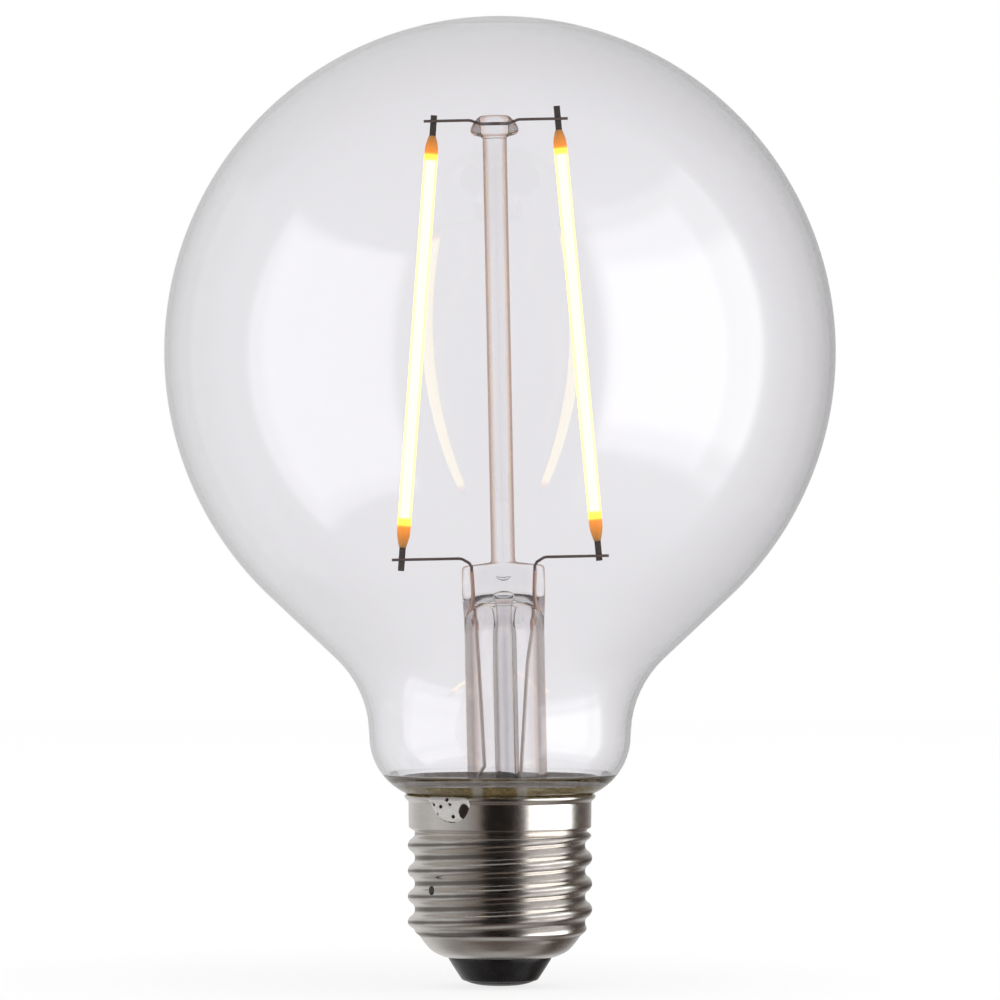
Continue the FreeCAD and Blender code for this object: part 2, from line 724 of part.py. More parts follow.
def side_wire():
    """From the board up through the cement, over the rim and down the skirt's outside."""
    gap_r = SPIGOT_R + SIDE_WIRE_R + WIRE_GAP
    lap = SIDE_WIRE_R
    points = side_wire_foot() + [
        side_point(THREAD_ROOT_R - CAP_WALL - 1.2, SIDE_WIRE_START),
        side_point(gap_r, SPIGOT_FOOT + SPIGOT_EDGE),
        side_point(gap_r, RIM_FLARE_Z),
        side_point(RIM_R - CAP_WALL - lap, RIM_Z + lap),
        side_point(RIM_R + lap, RIM_Z + lap),
        side_point(SKIRT_R + lap, RIM_FLARE_Z - 0.3),
        side_point(SKIRT_R + lap, SIDE_WIRE_FOOT),
    ]
    return bent_wire(points, SIDE_WIRE_R, 0.25)


def solder_ring(share, r):
    """The lump's outline at a distance from the lamp's axis, as a share of its full size."""
    corners = []
    for i in range(SOLDER_CORNERS):
        a = 2 * math.pi * i / SOLDER_CORNERS
        across = share * SOLDER_WIDTH / 2 * math.cos(a)
        up = share * SOLDER_HEIGHT / 2 * math.sin(a)
        corners.append(V(r, across, SOLDER_Z + up))
    return Part.makePolygon(corners + corners[:1])


def side_solder():
    """A lump that wetted the rim and the skirt, with a rounded outline."""
    low = SKIRT_R - CAP_WALL - 0.2
    rings = [solder_ring(1.0, low), solder_ring(1.0, SKIRT_R + 0.35 * SOLDER_THICK)]
    rings += [solder_ring(0.8, SKIRT_R + 0.8 * SOLDER_THICK), solder_ring(0.4, SKIRT_R + SOLDER_THICK)]
    lump = Part.makeLoft(rings, True, True)
    lump.rotate(ORIGIN, UP, SOLDER_ANGLE)
    lump = lump.cut([skirt_body(0), side_wire()])
    return max(lump.Solids, key=lambda solid: solid.Volume)


# Driver
def driver_board():
    height = BOARD_TOP - BOARD_FOOT
    size = (BOARD_WIDTH, BOARD_THICK, height)
    board = block(size, V(0, 0, BOARD_FOOT + height / 2))
    holes = [rod(FUSE_WIRE_R, V(FUSE_X, -2, fuse_top()), V(FUSE_X, 2, fuse_top()))]
    return board.cut(holes)


def bridge_rectifier():
    y = (BOARD_THICK + RECTIFIER[1]) / 2
    body = block(RECTIFIER, V(RECTIFIER_X, y, RECTIFIER_Z))
    return body.makeChamfer(0.3, [e for e in body.Edges if abs(e.BoundBox.YMin - y) < RECTIFIER[1]
                                  and e.BoundBox.YMin > y + 0.1])


def driver_chip():
    y = (BOARD_THICK + CHIP[1]) / 2
    body = block(CHIP, V(CHIP_X, y, CHIP_Z))
    return body.makeChamfer(0.3, [e for e in body.Edges if e.BoundBox.YMin > y + 0.1])


def smoothing_capacitor():
    """An electrolytic can lying across the board's front."""
    y = -BOARD_THICK / 2 - CAPACITOR_R
    start = V(CAPACITOR_X - CAPACITOR_LENGTH / 2, y, CAPACITOR_Z)
    can = Part.makeCylinder(CAPACITOR_R, CAPACITOR_LENGTH, start, V(1, 0, 0))
    return can.makeChamfer(CAN_EDGE, can.Edges)


def fuse_y():
    return -BOARD_THICK / 2 - FUSE_R - 0.8


def fuse_top():
    return FUSE_Z + FUSE_LENGTH / 2 + 1.4


def fuse_leads():
    """Both wires of the fuse resistor: one into the board, one down to the centre contact."""
    y = fuse_y()
    up = [V(FUSE_X, y, FUSE_Z), V(FUSE_X, y, fuse_top()), V(FUSE_X, BOARD_THICK / 2, fuse_top())]
    low_z = END_Z + CAP_WALL + INSULATOR_FLOOR + 0.9
    down = [V(FUSE_X, y, FUSE_Z), V(FUSE_X, y, low_z), V(0, 0, low_z), V(0, 0, CONTACT_THICK)]
    return bent_wire(up, FUSE_WIRE_R, 0.6).fuse(bent_wire(down, FUSE_WIRE_R, 0.5))


def fuse_resistor():
    y = fuse_y()
    body = Part.makeCylinder(FUSE_R, FUSE_LENGTH, V(FUSE_X, y, FUSE_Z - FUSE_LENGTH / 2))
    return body.makeChamfer(CAN_EDGE, body.Edges).fuse(fuse_leads())


def board_solder_joints():
    """Solder where the two outer leads and the side wire meet the board's front."""
    wires = [(outer_lead_points(side)[-1], outer_lead(side)) for side in (-1, 1)]
    wires.append((side_wire_foot()[0], side_wire()))
    joints = []
    for end, wire in wires:
        foot = V(end.x, -BOARD_THICK / 2, end.z)
        cone = Part.makeCone(JOINT_R, JOINT_R / 2, JOINT_R, foot, V(0, -1, 0))
        joints.append(cone.cut(wire))
    return Part.makeCompound(joints)


def write(name, shape):
    shape.exportStep("parts/" + name + ".step")


def main():
    os.makedirs("parts", exist_ok=True)
    write("glass_envelope", glass_envelope())
    write("stem_flare", stem_flare())
    write("exhaust_tube", exhaust_tube())
    write("support_pillar", support_pillar())
    for side, name in ((-1, "left_"), (1, "right_")):
        write(name + "filament_strip", set_filament(plain_strip(), side))
        write(name + "filament_chips", set_filament(plain_chips(), side))
        write(name + "filament_coating", set_filament(plain_coating(), side))
        write(name + "foot_tab", set_filament(plain_tab(0), side))
        write(name + "head_tab", set_filament(plain_tab(1), side))
        write(name + "inner_lead", inner_lead(side))
        write(name + "seal_wire", seal_wire(side))
        write(name + "outer_lead", outer_lead(side))
        write(name + "lead_sleeve", lead_sleeve(side))
    write("bridge_wire", bridge_wire())
    write("screw_shell", screw_shell())
    write("cap_cement", cap_cement())
    write("cap_insulator", cap_insulator())
    write("centre_contact", centre_contact())
    write("centre_solder", centre_solder())
    write("side_solder", side_solder())
    write("side_wire", side_wire())
    write("driver_board", driver_board())
    write("bridge_rectifier", bridge_rectifier())
    write("driver_chip", driver_chip())
    write("smoothing_capacitor", smoothing_capacitor())
    write("fuse_resistor", fuse_resistor())
    write("board_solder_joints", board_solder_joints())


main()
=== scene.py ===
# %% [markdown]
# # A clear globe lamp with LED filaments
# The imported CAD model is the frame: it gives every piece its place and its size.
# This notebook dresses it. The blown glass, the rolled cap, the cement and the solder
# are made again as finer surfaces, because refraction and gloss show every flat facet,
# and the thin wires and tabs keep their CAD shape and only get their metals.

# %% Load the frame
import math

import bpy
import numpy as np
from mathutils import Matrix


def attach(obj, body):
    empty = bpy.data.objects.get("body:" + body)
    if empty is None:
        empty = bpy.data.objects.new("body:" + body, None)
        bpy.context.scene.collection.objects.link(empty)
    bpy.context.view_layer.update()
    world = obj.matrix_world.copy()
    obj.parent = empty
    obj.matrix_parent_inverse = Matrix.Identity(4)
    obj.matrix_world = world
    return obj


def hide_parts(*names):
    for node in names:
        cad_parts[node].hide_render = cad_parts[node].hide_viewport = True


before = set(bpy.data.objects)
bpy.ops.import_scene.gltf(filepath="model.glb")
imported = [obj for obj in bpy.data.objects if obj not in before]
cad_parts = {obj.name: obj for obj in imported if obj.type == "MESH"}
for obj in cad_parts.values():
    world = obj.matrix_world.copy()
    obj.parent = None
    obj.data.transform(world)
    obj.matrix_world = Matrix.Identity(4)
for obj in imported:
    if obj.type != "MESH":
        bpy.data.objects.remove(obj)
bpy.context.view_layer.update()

MM = 0.001
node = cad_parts
print("nodes in the frame:", len(node))

# %% [markdown]
# ## Camera
# The camera looks level at the middle of the lamp from about a metre, so the rim of the cap,
# well below its line of sight, shows as a thin ellipse. A long lens from there keeps the
# lamp's sides nearly parallel. The lamp fills the frame from top to bottom, so the lens is
# worked out from the height that the frame has to cover at the lamp's axis.

# %% Camera
PICTURE = 1000                     # the photograph's width and height in pixels
SCALE = 7.063                      # its pixels to a millimetre of the lamp
CAMERA_AWAY = 1000 * MM
CAMERA_HEIGHT = 68.67 * MM         # the picture's middle
SENSOR = 36.0

lens = bpy.data.cameras.new("camera")
lens.sensor_width = SENSOR
lens.lens = SENSOR * CAMERA_AWAY / (PICTURE / SCALE * MM)
lens.clip_start = 0.05
camera = bpy.data.objects.new("camera", lens)
camera.location = (0, -CAMERA_AWAY, CAMERA_HEIGHT)
camera.rotation_euler = (math.pi / 2, 0, 0)
bpy.context.collection.objects.link(camera)
bpy.context.scene.camera = camera
bpy.context.scene.view_settings.view_transform = "Standard"
print("lens in mm:", round(lens.lens, 1))

# %% [markdown]
# ## Profiles
# Everything blown, drawn, spun or rolled on this lamp is round about an axis. Such a
# surface is a profile, a line of points (radius, height), carried round the axis.
# Corners are eased, because fire-polished glass and pressed sheet have no sharp ones.

# %% Lines of points
def arc(centre, radius, start, end, count):
    """Points of a circle: the centre plus radius times (cos, sin) of evenly spaced angles."""
    a = np.radians(np.linspace(start, end, count))
    return np.column_stack([centre[0] + radius * np.cos(a), centre[1] + radius * np.sin(a)])


def even(points, step):
    """The same line with points an even step apart, by linear interpolation on its length."""
    points = np.asarray(points, float)
    runs = np.linalg.norm(np.diff(points[:, :2], axis=0), axis=1)
    keep = np.concatenate([[True], runs > 1e-9])
    points = points[keep]
    along = np.concatenate([[0], np.cumsum(runs[keep[1:]])])
    count = max(2, int(round(along[-1] / step)) + 1)
    where = np.linspace(0, along[-1], count)
    return np.column_stack([np.interp(where, along, column) for column in points.T])


def eased(corners, reach, count=7):
    """Corners rounded by a parabola: (1-t)^2 A + 2t(1-t) C + t^2 B, with A and B at most reach
    away from the corner C, and short of the middles of its two sides."""
    corners = np.asarray(corners, float)
    reach = np.broadcast_to(reach, len(corners))
    t = np.linspace(0, 1, count)[:, None]
    line = [corners[:1]]
    for before, corner, after, r in zip(corners, corners[1:], corners[2:], reach[1:]):
        to_before = np.linalg.norm((before - corner)[:2])
        to_after = np.linalg.norm((after - corner)[:2])
        a = corner + (before - corner) * min(r / to_before, 0.49)
        b = corner + (after - corner) * min(r / to_after, 0.49)
        line.append((1 - t) ** 2 * a + 2 * t * (1 - t) * corner + t ** 2 * b)
    line.append(corners[-1:])
    return np.concatenate(line)


def drawn(table):
    """Eased corners from a table in which each row ends with its own corner's reach."""
    table = np.asarray(table, float)
    return eased(table[:, :-1], table[:, -1])


def rubble(points, size, seed, waves=40):
    """Uneven lumps of about one size: the sum of sin(k . p + phase) over fixed random waves k,
    divided by sqrt(waves / 2) so that its spread is 1."""
    draw = np.random.default_rng(seed)
    k = draw.normal(size=(waves, 3)) * (2 * np.pi / size) / 1.7
    phase = draw.uniform(0, 2 * np.pi, waves)
    return np.sin(points @ k.T + phase).sum(-1) / math.sqrt(waves / 2)


def smooth(low, high, x):
    """From 0 at low to 1 at high by t^2 (3 - 2t), also where low is the larger."""
    t = np.clip((x - low) / (high - low), 0, 1)
    return t * t * (3 - 2 * t)


# %% [markdown]
# ## From rings to a mesh
# A Screw modifier could spin a profile, but here some profiles are squeezed, leaned or
# ruffled once they are turned. So the rings are plain arrays of points, which numpy bends as
# a whole, and the faces between them come from one formula that serves every piece.

# %% Rings to a mesh
def turned(profile, columns):
    """Rings of points: radius times (cos, sin) of the angle, at the profile's heights, in millimetres."""
    a = np.linspace(0, 2 * np.pi, columns, endpoint=False)
    r, z = profile[:, 0, None], profile[:, 1, None]
    return np.stack([r * np.cos(a), r * np.sin(a), z + 0 * a], -1)


def shell(rings, first=None, last=None, inward=False):
    """Vertices and faces of one closed skin: quads between neighbouring rings, and a fan to a single
    point at either end. The signed volume, the sum of v0 . (v1 x v2) over its triangles, says
    which way the faces look, and they are turned round where that is wrong."""
    rows, columns = rings.shape[:2]
    points = rings.reshape(-1, 3)
    i, j = np.meshgrid(np.arange(rows - 1), np.arange(columns), indexing="ij")
    k = (j + 1) % columns
    quads = np.stack([i * columns + j, i * columns + k, (i + 1) * columns + k, (i + 1) * columns + j], -1)
    quads = quads.reshape(-1, 4)
    ring = np.arange(columns)
    after = (ring + 1) % columns
    fans = []
    if first is not None:
        fans.append(np.stack([np.full(columns, len(points)), after, ring], -1))
        points = np.vstack([points, first])
    if last is not None:
        low = (rows - 1) * columns
        fans.append(np.stack([low + ring, low + after, np.full(columns, len(points))], -1))
        points = np.vstack([points, last])
    fans = np.concatenate(fans) if fans else np.zeros((0, 3), int)
    tris = np.concatenate([quads[:, :3], quads[:, [0, 2, 3]], fans])
    a, b, c = points[tris[:, 0]], points[tris[:, 1]], points[tris[:, 2]]
    volume = np.einsum("ij,ij->", a, np.cross(b, c))
    if (volume < 0) != inward:
        quads, fans = quads[:, ::-1], fans[:, ::-1]
    return points, quads, fans


def piece(name, shells, replaced=(), along=None):
    """A Blender mesh from skins in millimetres. It rides on the lamp and stands for the nodes named.
    along, one value for every vertex, becomes an attribute that a finish can read."""
    points, quads, fans, start = [], [], [], 0
    for p, q, f in shells:
        points.append(p)
        quads.append(q + start)
        fans.append(f + start)
        start += len(p)
    points, quads, fans = np.concatenate(points), np.concatenate(quads), np.concatenate(fans)
    mesh = bpy.data.meshes.new(name)
    mesh.vertices.add(len(points))
    mesh.vertices.foreach_set("co", (points * MM).astype(np.float32).ravel())
    loops = np.concatenate([quads.ravel(), fans.ravel()]).astype(np.int32)
    sizes = np.concatenate([np.full(len(quads), 4), np.full(len(fans), 3)])
    starts = np.concatenate([[0], np.cumsum(sizes)[:-1]]).astype(np.int32)
    mesh.loops.add(len(loops))
    mesh.loops.foreach_set("vertex_index", loops)
    mesh.polygons.add(len(sizes))
    mesh.polygons.foreach_set("loop_start", starts)
    mesh.polygons.foreach_set("use_smooth", np.ones(len(sizes), bool))
    if along is not None:
        attribute = mesh.attributes.new("along", "FLOAT", "POINT")
        attribute.data.foreach_set("value", np.asarray(along, np.float32))
    mesh.update(calc_edges=True)
    mesh.validate()
    made = bpy.data.objects.new(name, mesh)
    bpy.context.collection.objects.link(made)
    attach(made, "root")
    if replaced:
        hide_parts(*replaced)
    print(f"{name}: {2 * len(quads) + len(fans)} triangles")
    return made


# %% [markdown]
# ## Finishes as Python expressions
# A shader is a small sum: this much noise times that, added to the roughness. Wiring such
# sums by hand hides them, so a value from a node is wrapped in a class whose + - * / add
# the Math nodes, and every other node comes from one method.

# %% Shader values
class Value:
    """A number that varies over the surface: the wrapped output of a node."""

    def __init__(self, finish, socket):
        self.finish, self.socket = finish, socket

    def math(self, operation, *others):
        inputs = [getattr(v, "socket", v) for v in (self, *others)]
        made = self.finish.node("ShaderNodeMath", {"operation": operation}, dict(enumerate(inputs)))
        return Value(self.finish, made.outputs[0])

    def __add__(self, other):
        return self.math("ADD", other)

    def __sub__(self, other):
        return self.math("SUBTRACT", other)

    def __mul__(self, other):
        return self.math("MULTIPLY", other)

    def __truediv__(self, other):
        return self.math("DIVIDE", other)

    def __rsub__(self, other):
        made = self.finish.node("ShaderNodeMath", {"operation": "SUBTRACT"}, {0: other, 1: self.socket})
        return Value(self.finish, made.outputs[0])

    __radd__ = __add__
    __rmul__ = __mul__

    def step(self, low, high):
        """0 below low, 1 above high and a smooth rise between them."""
        made = self.finish.node(
            "ShaderNodeMapRange", {"interpolation_type": "SMOOTHSTEP"},
            {"Value": self.socket, "From Min": low, "From Max": high},
        )
        return Value(self.finish, made.outputs["Result"])

    def between(self, low, high, soft):
        """1 between low and high and 0 outside them, with soft edges."""
        return self.step(low - soft, low + soft) * (1 - self.step(high - soft, high + soft))


class Finish:
    """A material or a world with its node tree."""

    def __init__(self, owner):
        self.owner = owner
        owner.use_nodes = True
        self.tree = owner.node_tree
        self.tree.nodes.clear()

    def node(self, kind, settings=None, inputs=None):
        made = self.tree.nodes.new(kind)
        for name, value in (settings or {}).items():
            if name == "stops":
                self.set_stops(made.color_ramp, value)
            else:
                setattr(made, name, value)
        for name, value in (inputs or {}).items():
            value = getattr(value, "socket", value)
            if isinstance(value, bpy.types.NodeSocket):
                self.tree.links.new(value, made.inputs[name])
            else:
                made.inputs[name].default_value = value
        return made

    @staticmethod
    def set_stops(ramp, stops):
        while len(ramp.elements) > 1:
            ramp.elements.remove(ramp.elements[-1])
        ramp.elements[0].position, ramp.elements[0].color = stops[0][0], (*stops[0][1], 1)
        for place, colour in stops[1:]:
            ramp.elements.new(place).color = (*colour, 1)

    def value(self, made, output):
        return Value(self, made.outputs[output])

    def place(self):
        return self.node("ShaderNodeTexCoord").outputs["Object"]

    def axes(self):
        """The object's own X, Y and Z, in metres."""
        split = self.node("ShaderNodeSeparateXYZ", None, {0: self.place()})
        return [self.value(split, i) for i in range(3)]

    def noise(self, scale, detail=3, roughness=0.5, stretch=(1, 1, 1)):
        """Noise on the object's own place, in metres, so that scale is in lumps to a metre."""
        at = self.node("ShaderNodeMapping", None, {"Vector": self.place(), "Scale": stretch})
        made = self.node(
            "ShaderNodeTexNoise", None,
            {"Vector": at.outputs[0], "Scale": scale, "Detail": detail, "Roughness": roughness},
        )
        return self.value(made, "Fac")

    def blend(self, share, a, b):
        """Colour a where share is 0 and b where it is 1."""
        made = self.node("ShaderNodeMix", {"data_type": "RGBA"}, {0: share})
        for socket, colour in ((made.inputs[6], a), (made.inputs[7], b)):
            if isinstance(colour, bpy.types.NodeSocket):
                self.tree.links.new(colour, socket)
            else:
                socket.default_value = (*colour, 1)
        return made.outputs[2]

    def ramp(self, share, stops):
        made = self.node("ShaderNodeValToRGB", {"stops": stops}, {"Fac": share})
        return made.outputs["Color"]

    def bump(self, height, distance, strength=1.0):
        made = self.node(
            "ShaderNodeBump", None, {"Height": height, "Distance": distance, "Strength": strength}
        )
        return made.outputs["Normal"]

    def surface(self, **inputs):
        """The Principled surface; an underscore in a name stands for a space."""
        named = {name.replace("_", " "): value for name, value in inputs.items()}
        for name in ("Base Color", "Emission Color"):
            if isinstance(named.get(name), tuple):
                named[name] = (*named[name], 1)
        made = self.node("ShaderNodeBsdfPrincipled", None, named)
        self.node("ShaderNodeOutputMaterial", None, {"Surface": made.outputs[0]})


def finish(name):
    return Finish(bpy.data.materials.new(name))


def dress(thing, made):
    """Puts a finish on a piece or on a CAD node, in place of what it had."""
    thing.data.materials.clear()
    thing.data.materials.append(made.owner)
    print(f"{thing.name} is finished in {made.owner.name}")


# %% [markdown]
# ## The glass
# The real lamp's glass is one fused body: a blown globe, a drawn flare tube with its press,
# the exhaust tube and the solid pillar with its button. Four separate solids would leave
# doubled walls wherever they meet, which refract wrongly. So it is made here as one body, the
# glass between four skins. The air's side goes from the crown of the globe down round the
# spigot, under the flange, up inside the flare and down the exhaust tube. The gas's side goes
# from the crown down to the flange, up the flare and the pillar to the button. The other two
# are closed spaces in the glass: the exhaust tube's bore and a small crease in the press.

# %% Sizes of the glass
GLOBE_R, GLOBE_Z, WALL = 47.5, 89.6, 0.7
CROWN_ANGLE = 89.6                 # just short of the pole, which a fan of faces closes
CONE_TOP_Z = 55.0                  # where the globe runs into the cone
CONE_ANGLE = math.degrees(math.asin((CONE_TOP_Z - GLOBE_Z) / GLOBE_R))
NECK_R, NECK_FILLET = 18.5, 15.0
SHOULDER_R, SHOULDER_Z = 9.0, 35.3
FLOOR_Z, UNDER_Z = 28.2, 27.7      # the flange's upper and lower side
LEAN_Z = 29.6                      # the height about which the mount leans
COLUMNS = 160
print("the globe runs into its cone", round(-CONE_ANGLE, 1), "degrees below its middle")


def globe_line(inset, step):
    """Crown to shoulder: a circle, a cone that leaves it at its own slope, a wide fillet and the
    straight neck, with four times as many points near the pole, where rings would show."""
    sphere = GLOBE_R - inset
    round_part = arc((0, GLOBE_Z), sphere, CROWN_ANGLE, CONE_ANGLE, 400)
    slope = math.radians(-CONE_ANGLE)
    fillet, neck = NECK_FILLET + inset, NECK_R - inset
    end = round_part[-1]
    corner_z = end[1] - (end[0] - neck) / math.tan(slope)
    reach = fillet * math.tan(slope / 2)
    bend = arc((neck + fillet, corner_z - reach), fillet, 180 - math.degrees(slope), 180, 40)
    line = even(np.concatenate([round_part, bend, [[neck, SHOULDER_Z]]]), step / 4)
    crown = line[:, 0] < 12
    return line[crown | (np.arange(len(line)) % 4 == 0)]


def sparse(line, low, high):
    """The line with one point in twelve between two heights, where the mount's glass runs straight."""
    straight = (line[:, 0] < 6) & (line[:, 1] > low) & (line[:, 1] < high)
    return line[~straight | (np.arange(len(line)) % 12 == 0)]


# %% [markdown]
# ## The leaning mount
# A mount is never fused in quite straight. This one stands a millimetre to the right of the
# globe's axis and leans about a degree to the left. Tilting the whole inner skin would part
# it from the globe, so each ring gets its own share of the lean: none of it at the globe's
# wall, all of it at the flare's tube and above.

# %% The leaning mount
LEAN, SHIFT = math.radians(1.15), 1.05


def lean_rings(rings, share):
    """Turns rings about the Y axis through the floor's middle, and shifts them, each by its own share."""
    x, z = rings[..., 0], rings[..., 2] - LEAN_Z
    leaned = np.stack([
        x * math.cos(LEAN) - z * math.sin(LEAN) + SHIFT, rings[..., 1],
        x * math.sin(LEAN) + z * math.cos(LEAN) + LEAN_Z,
    ], -1)
    share = np.asarray(share, float).reshape(-1, 1, 1)
    return rings + share * (leaned - rings)


def lean_share(line, wall_points):
    """How much each ring leans: not at all for the globe's own points, which come first, and then
    by a smooth rise from a radius of 10.4 mm inwards to 6.8 mm."""
    beyond = np.arange(len(line)) > wall_points
    return np.where(beyond, smooth(10.4, 6.8, line[:, 0]), 0)


def lean_point(x, y, z):
    """Where a point of the upright mount ends up."""
    return lean_rings(np.array([[[x, y, z]]], float), [1.0])[0, 0]


TIP_Z, BUTTON_Z = 20.6, 123.2      # the ends of the mount, on its own axis
print("the mount's top is at x =", round(float(lean_point(0, 0, BUTTON_Z)[0]), 2), "mm")

# %% [markdown]
# ## The air's side
# Where the globe's neck was melted to the flare, the glass sank and left a groove underneath,
# which the cement fills. Inside the flare's tube the hot glass was squeezed flat to seal the
# wires, so the depth of its bore shrinks to 0.38 of what it was.

# %% The air's side of the glass
UNDER_FLANGE = [                   # radius, height and reach
    (11.4, 23.0, 0.3), (11.4, 26.6, 0.6), (12.6, 27.5, 0.4), (13.5, 28.15, 0.4), (14.3, 28.95, 0.12),
    (14.05, 29.0, 0.12), (12.9, 27.95, 0.4), (11.0, UNDER_Z, 0.5),
]


def pressed_flat(rings):
    """How much of the depth is left where the hot flare was pressed: 1 below the press, 0.38 inside it."""
    return 1 - 0.62 * smooth(50.4, 54.0, rings[..., 2])


def air_side():
    """Crown, neck, shoulder, spigot, under the flange, up the flare's bore and down the exhaust tube."""
    outside = globe_line(0, 1.4)[:-1]
    shoulder = arc((NECK_R - SHOULDER_R, SHOULDER_Z), SHOULDER_R, 0, -67.26, 30)
    foot = drawn([
        (*shoulder[-1], 0), (12.3, 26.3, 0.5), (12.3, 23.0, 0.3), (11.85, 22.8, 0.3), *UNDER_FLANGE,
        (4.9, UNDER_Z, 0.2), (4.65, 28.1, 0.3), (4.65, 51.2, 1.0), (4.3, 53.3, 0.8), (3.1, 54.0, 0.5),
        (2.1, 53.7, 0.4), (1.7, 52.9, 0.5), (1.7, 23.4, 1.4), (0.6, 21.0, 0.5), (0.25, 20.62, 0),
    ])
    line = np.concatenate([outside, even(shoulder, 0.45)[:-1], sparse(even(foot, 0.35), 29, 50)])
    rings = turned(line, COLUMNS)
    bore = ((line[:, 0] < 8) & (line[:, 1] < 60))[:, None]
    rings[..., 1] *= np.where(bore, pressed_flat(rings), 1)
    rings = lean_rings(rings, lean_share(line, len(outside) + 12))
    return shell(rings, (0, 0, GLOBE_Z + GLOBE_R), lean_point(0, 0, TIP_Z))


# %% [markdown]
# ## The gas's side
# Seen from inside the globe, the flange rises into the flare, the flare into the flat press
# and the press into a round pillar with the button that holds the wires. A section that has
# its own width, depth and squareness at each height, a superellipse, can be all of these in
# turn, so the whole mount is one smooth skin.

# %% The gas's side of the glass
def mount_line():
    """Columns: half width in X, height, half depth in Y, squareness and the bead at each side."""
    return drawn([
        (11.0, FLOOR_Z, 11.0, 2, 0, 0), (5.75, FLOOR_Z, 5.75, 2, 0, 0.15), (5.65, 28.6, 5.65, 2, 0, 0.3),
        (5.65, 51.2, 5.65, 2, 0, 1.6), (5.85, 54.6, 2.6, 3.5, 0, 1.2), (5.9, 56.0, 1.95, 5, 0, 0.8),
        (5.85, 59.4, 1.85, 5, 0, 0.6), (4.0, 59.6, 1.8, 3, 0, 0.8), (1.72, 59.9, 1.7, 2, 0, 0.3),
        (1.7, 61.0, 1.7, 2, 0, 0.5), (1.7, 119.6, 1.7, 2, 0, 0.6), (1.75, 120.1, 1.75, 2, 0, 0.4),
        (2.35, 120.4, 2.35, 2, 0.85, 0.35), (2.35, 121.2, 2.35, 2, 1.15, 0.5), (2.35, 122.3, 2.35, 2, 0.5, 0.5),
        (2.1, 123.1, 2.1, 2, 0, 0.4), (0.3, BUTTON_Z, 0.3, 2, 0, 0),
    ])


def gas_side():
    """Rings x = a s|cos|^(2/n) + b s|cos|^9 and y = c s|sin|^(2/n), where s is the sign of the cosine
    or the sine, a and c are the half width and depth, n is the squareness and b is the bead."""
    inside = globe_line(WALL, 1.5)[:-1]
    shoulder = arc((NECK_R - SHOULDER_R, SHOULDER_Z), SHOULDER_R - WALL, 0, -41, 18)
    floor = eased([shoulder[-1], (14.15, 29.5), (12.75, 28.4), (11.0, FLOOR_Z)], 0.4)
    plain = np.concatenate([inside, even(shoulder, 0.5)[:-1], even(floor, 0.25)[:-1]])
    plain = np.column_stack([plain, plain[:, 0], np.full(len(plain), 2.0), np.zeros(len(plain))])
    mount = mount_line()
    low, high = mount[mount[:, 1] < 61], mount[mount[:, 1] >= 61]
    shaft, button = high[high[:, 1] < 119.8], high[high[:, 1] >= 119.8]
    line = np.concatenate([plain, sparse(even(low, 0.3), 29.5, 50), even(shaft, 3.0), even(button, 0.16)])
    a = np.linspace(0, 2 * np.pi, COLUMNS, endpoint=False)
    cos, sin = np.cos(a), np.sin(a)
    wide, height, deep, square, bead = line.T[..., None]
    x = wide * np.sign(cos) * np.abs(cos) ** (2 / square) + bead * np.sign(cos) * np.abs(cos) ** 9
    y = deep * np.sign(sin) * np.abs(sin) ** (2 / square)
    rings = np.stack([x, y, height + 0 * a], -1)
    rings = lean_rings(rings, lean_share(line, len(inside) + 10))
    top = (0, 0, GLOBE_Z + GLOBE_R - WALL)
    return shell(rings, top, lean_point(0, 0, BUTTON_Z), inward=True)


# %% [markdown]
# ## Spaces inside the glass
# The exhaust tube was melted shut below, and above it the squeezed press caught a little gas.
# Light bends and is mirrored at the walls of these spaces, which is all that shows of them.
# They are skins that look inward, so that nothing has to be cut out of the glass.

# %% Spaces inside the glass
def exhaust_bore():
    """A thin closed space inside the exhaust tube, which opens into a flat bubble in the press."""
    line = sparse(even(eased([
        (0.2, 22.3), (0.7, 22.9), (1.1, 24.0), (1.1, 53.7), (1.6, 54.4), (1.5, 55.2), (0.8, 55.6),
        (0.2, 55.65),
    ], 0.35), 0.3), 25, 50)
    rings = turned(line, 48)
    rings[..., 1] *= pressed_flat(rings)
    rings = lean_rings(rings, np.ones(len(line)))
    return shell(rings, lean_point(0, 0, 22.2), lean_point(0, 0, 55.7), inward=True)


def crease():
    """A thin crescent of gas left in the press: circles of radius h sqrt(1 - t^2) along a bent line."""
    t = np.linspace(-0.98, 0.98, 26)
    a = np.linspace(0, 2 * np.pi, 24, endpoint=False)
    h = 0.26 * np.sqrt(1 - t ** 2)[:, None]
    x, z = 1.05 * t[:, None], 57.5 + 0.35 * t[:, None] ** 2
    rings = lean_rings(np.stack([x + 0 * a, 0.8 * h * np.cos(a), z + h * np.sin(a)], -1), np.ones(26))
    return shell(rings, rings[0].mean(0), rings[-1].mean(0), inward=True)


glass = piece(
    "glass", [air_side(), gas_side(), exhaust_bore(), crease()],
    ("glass_envelope", "stem_flare", "exhaust_tube", "support_pillar"),
)
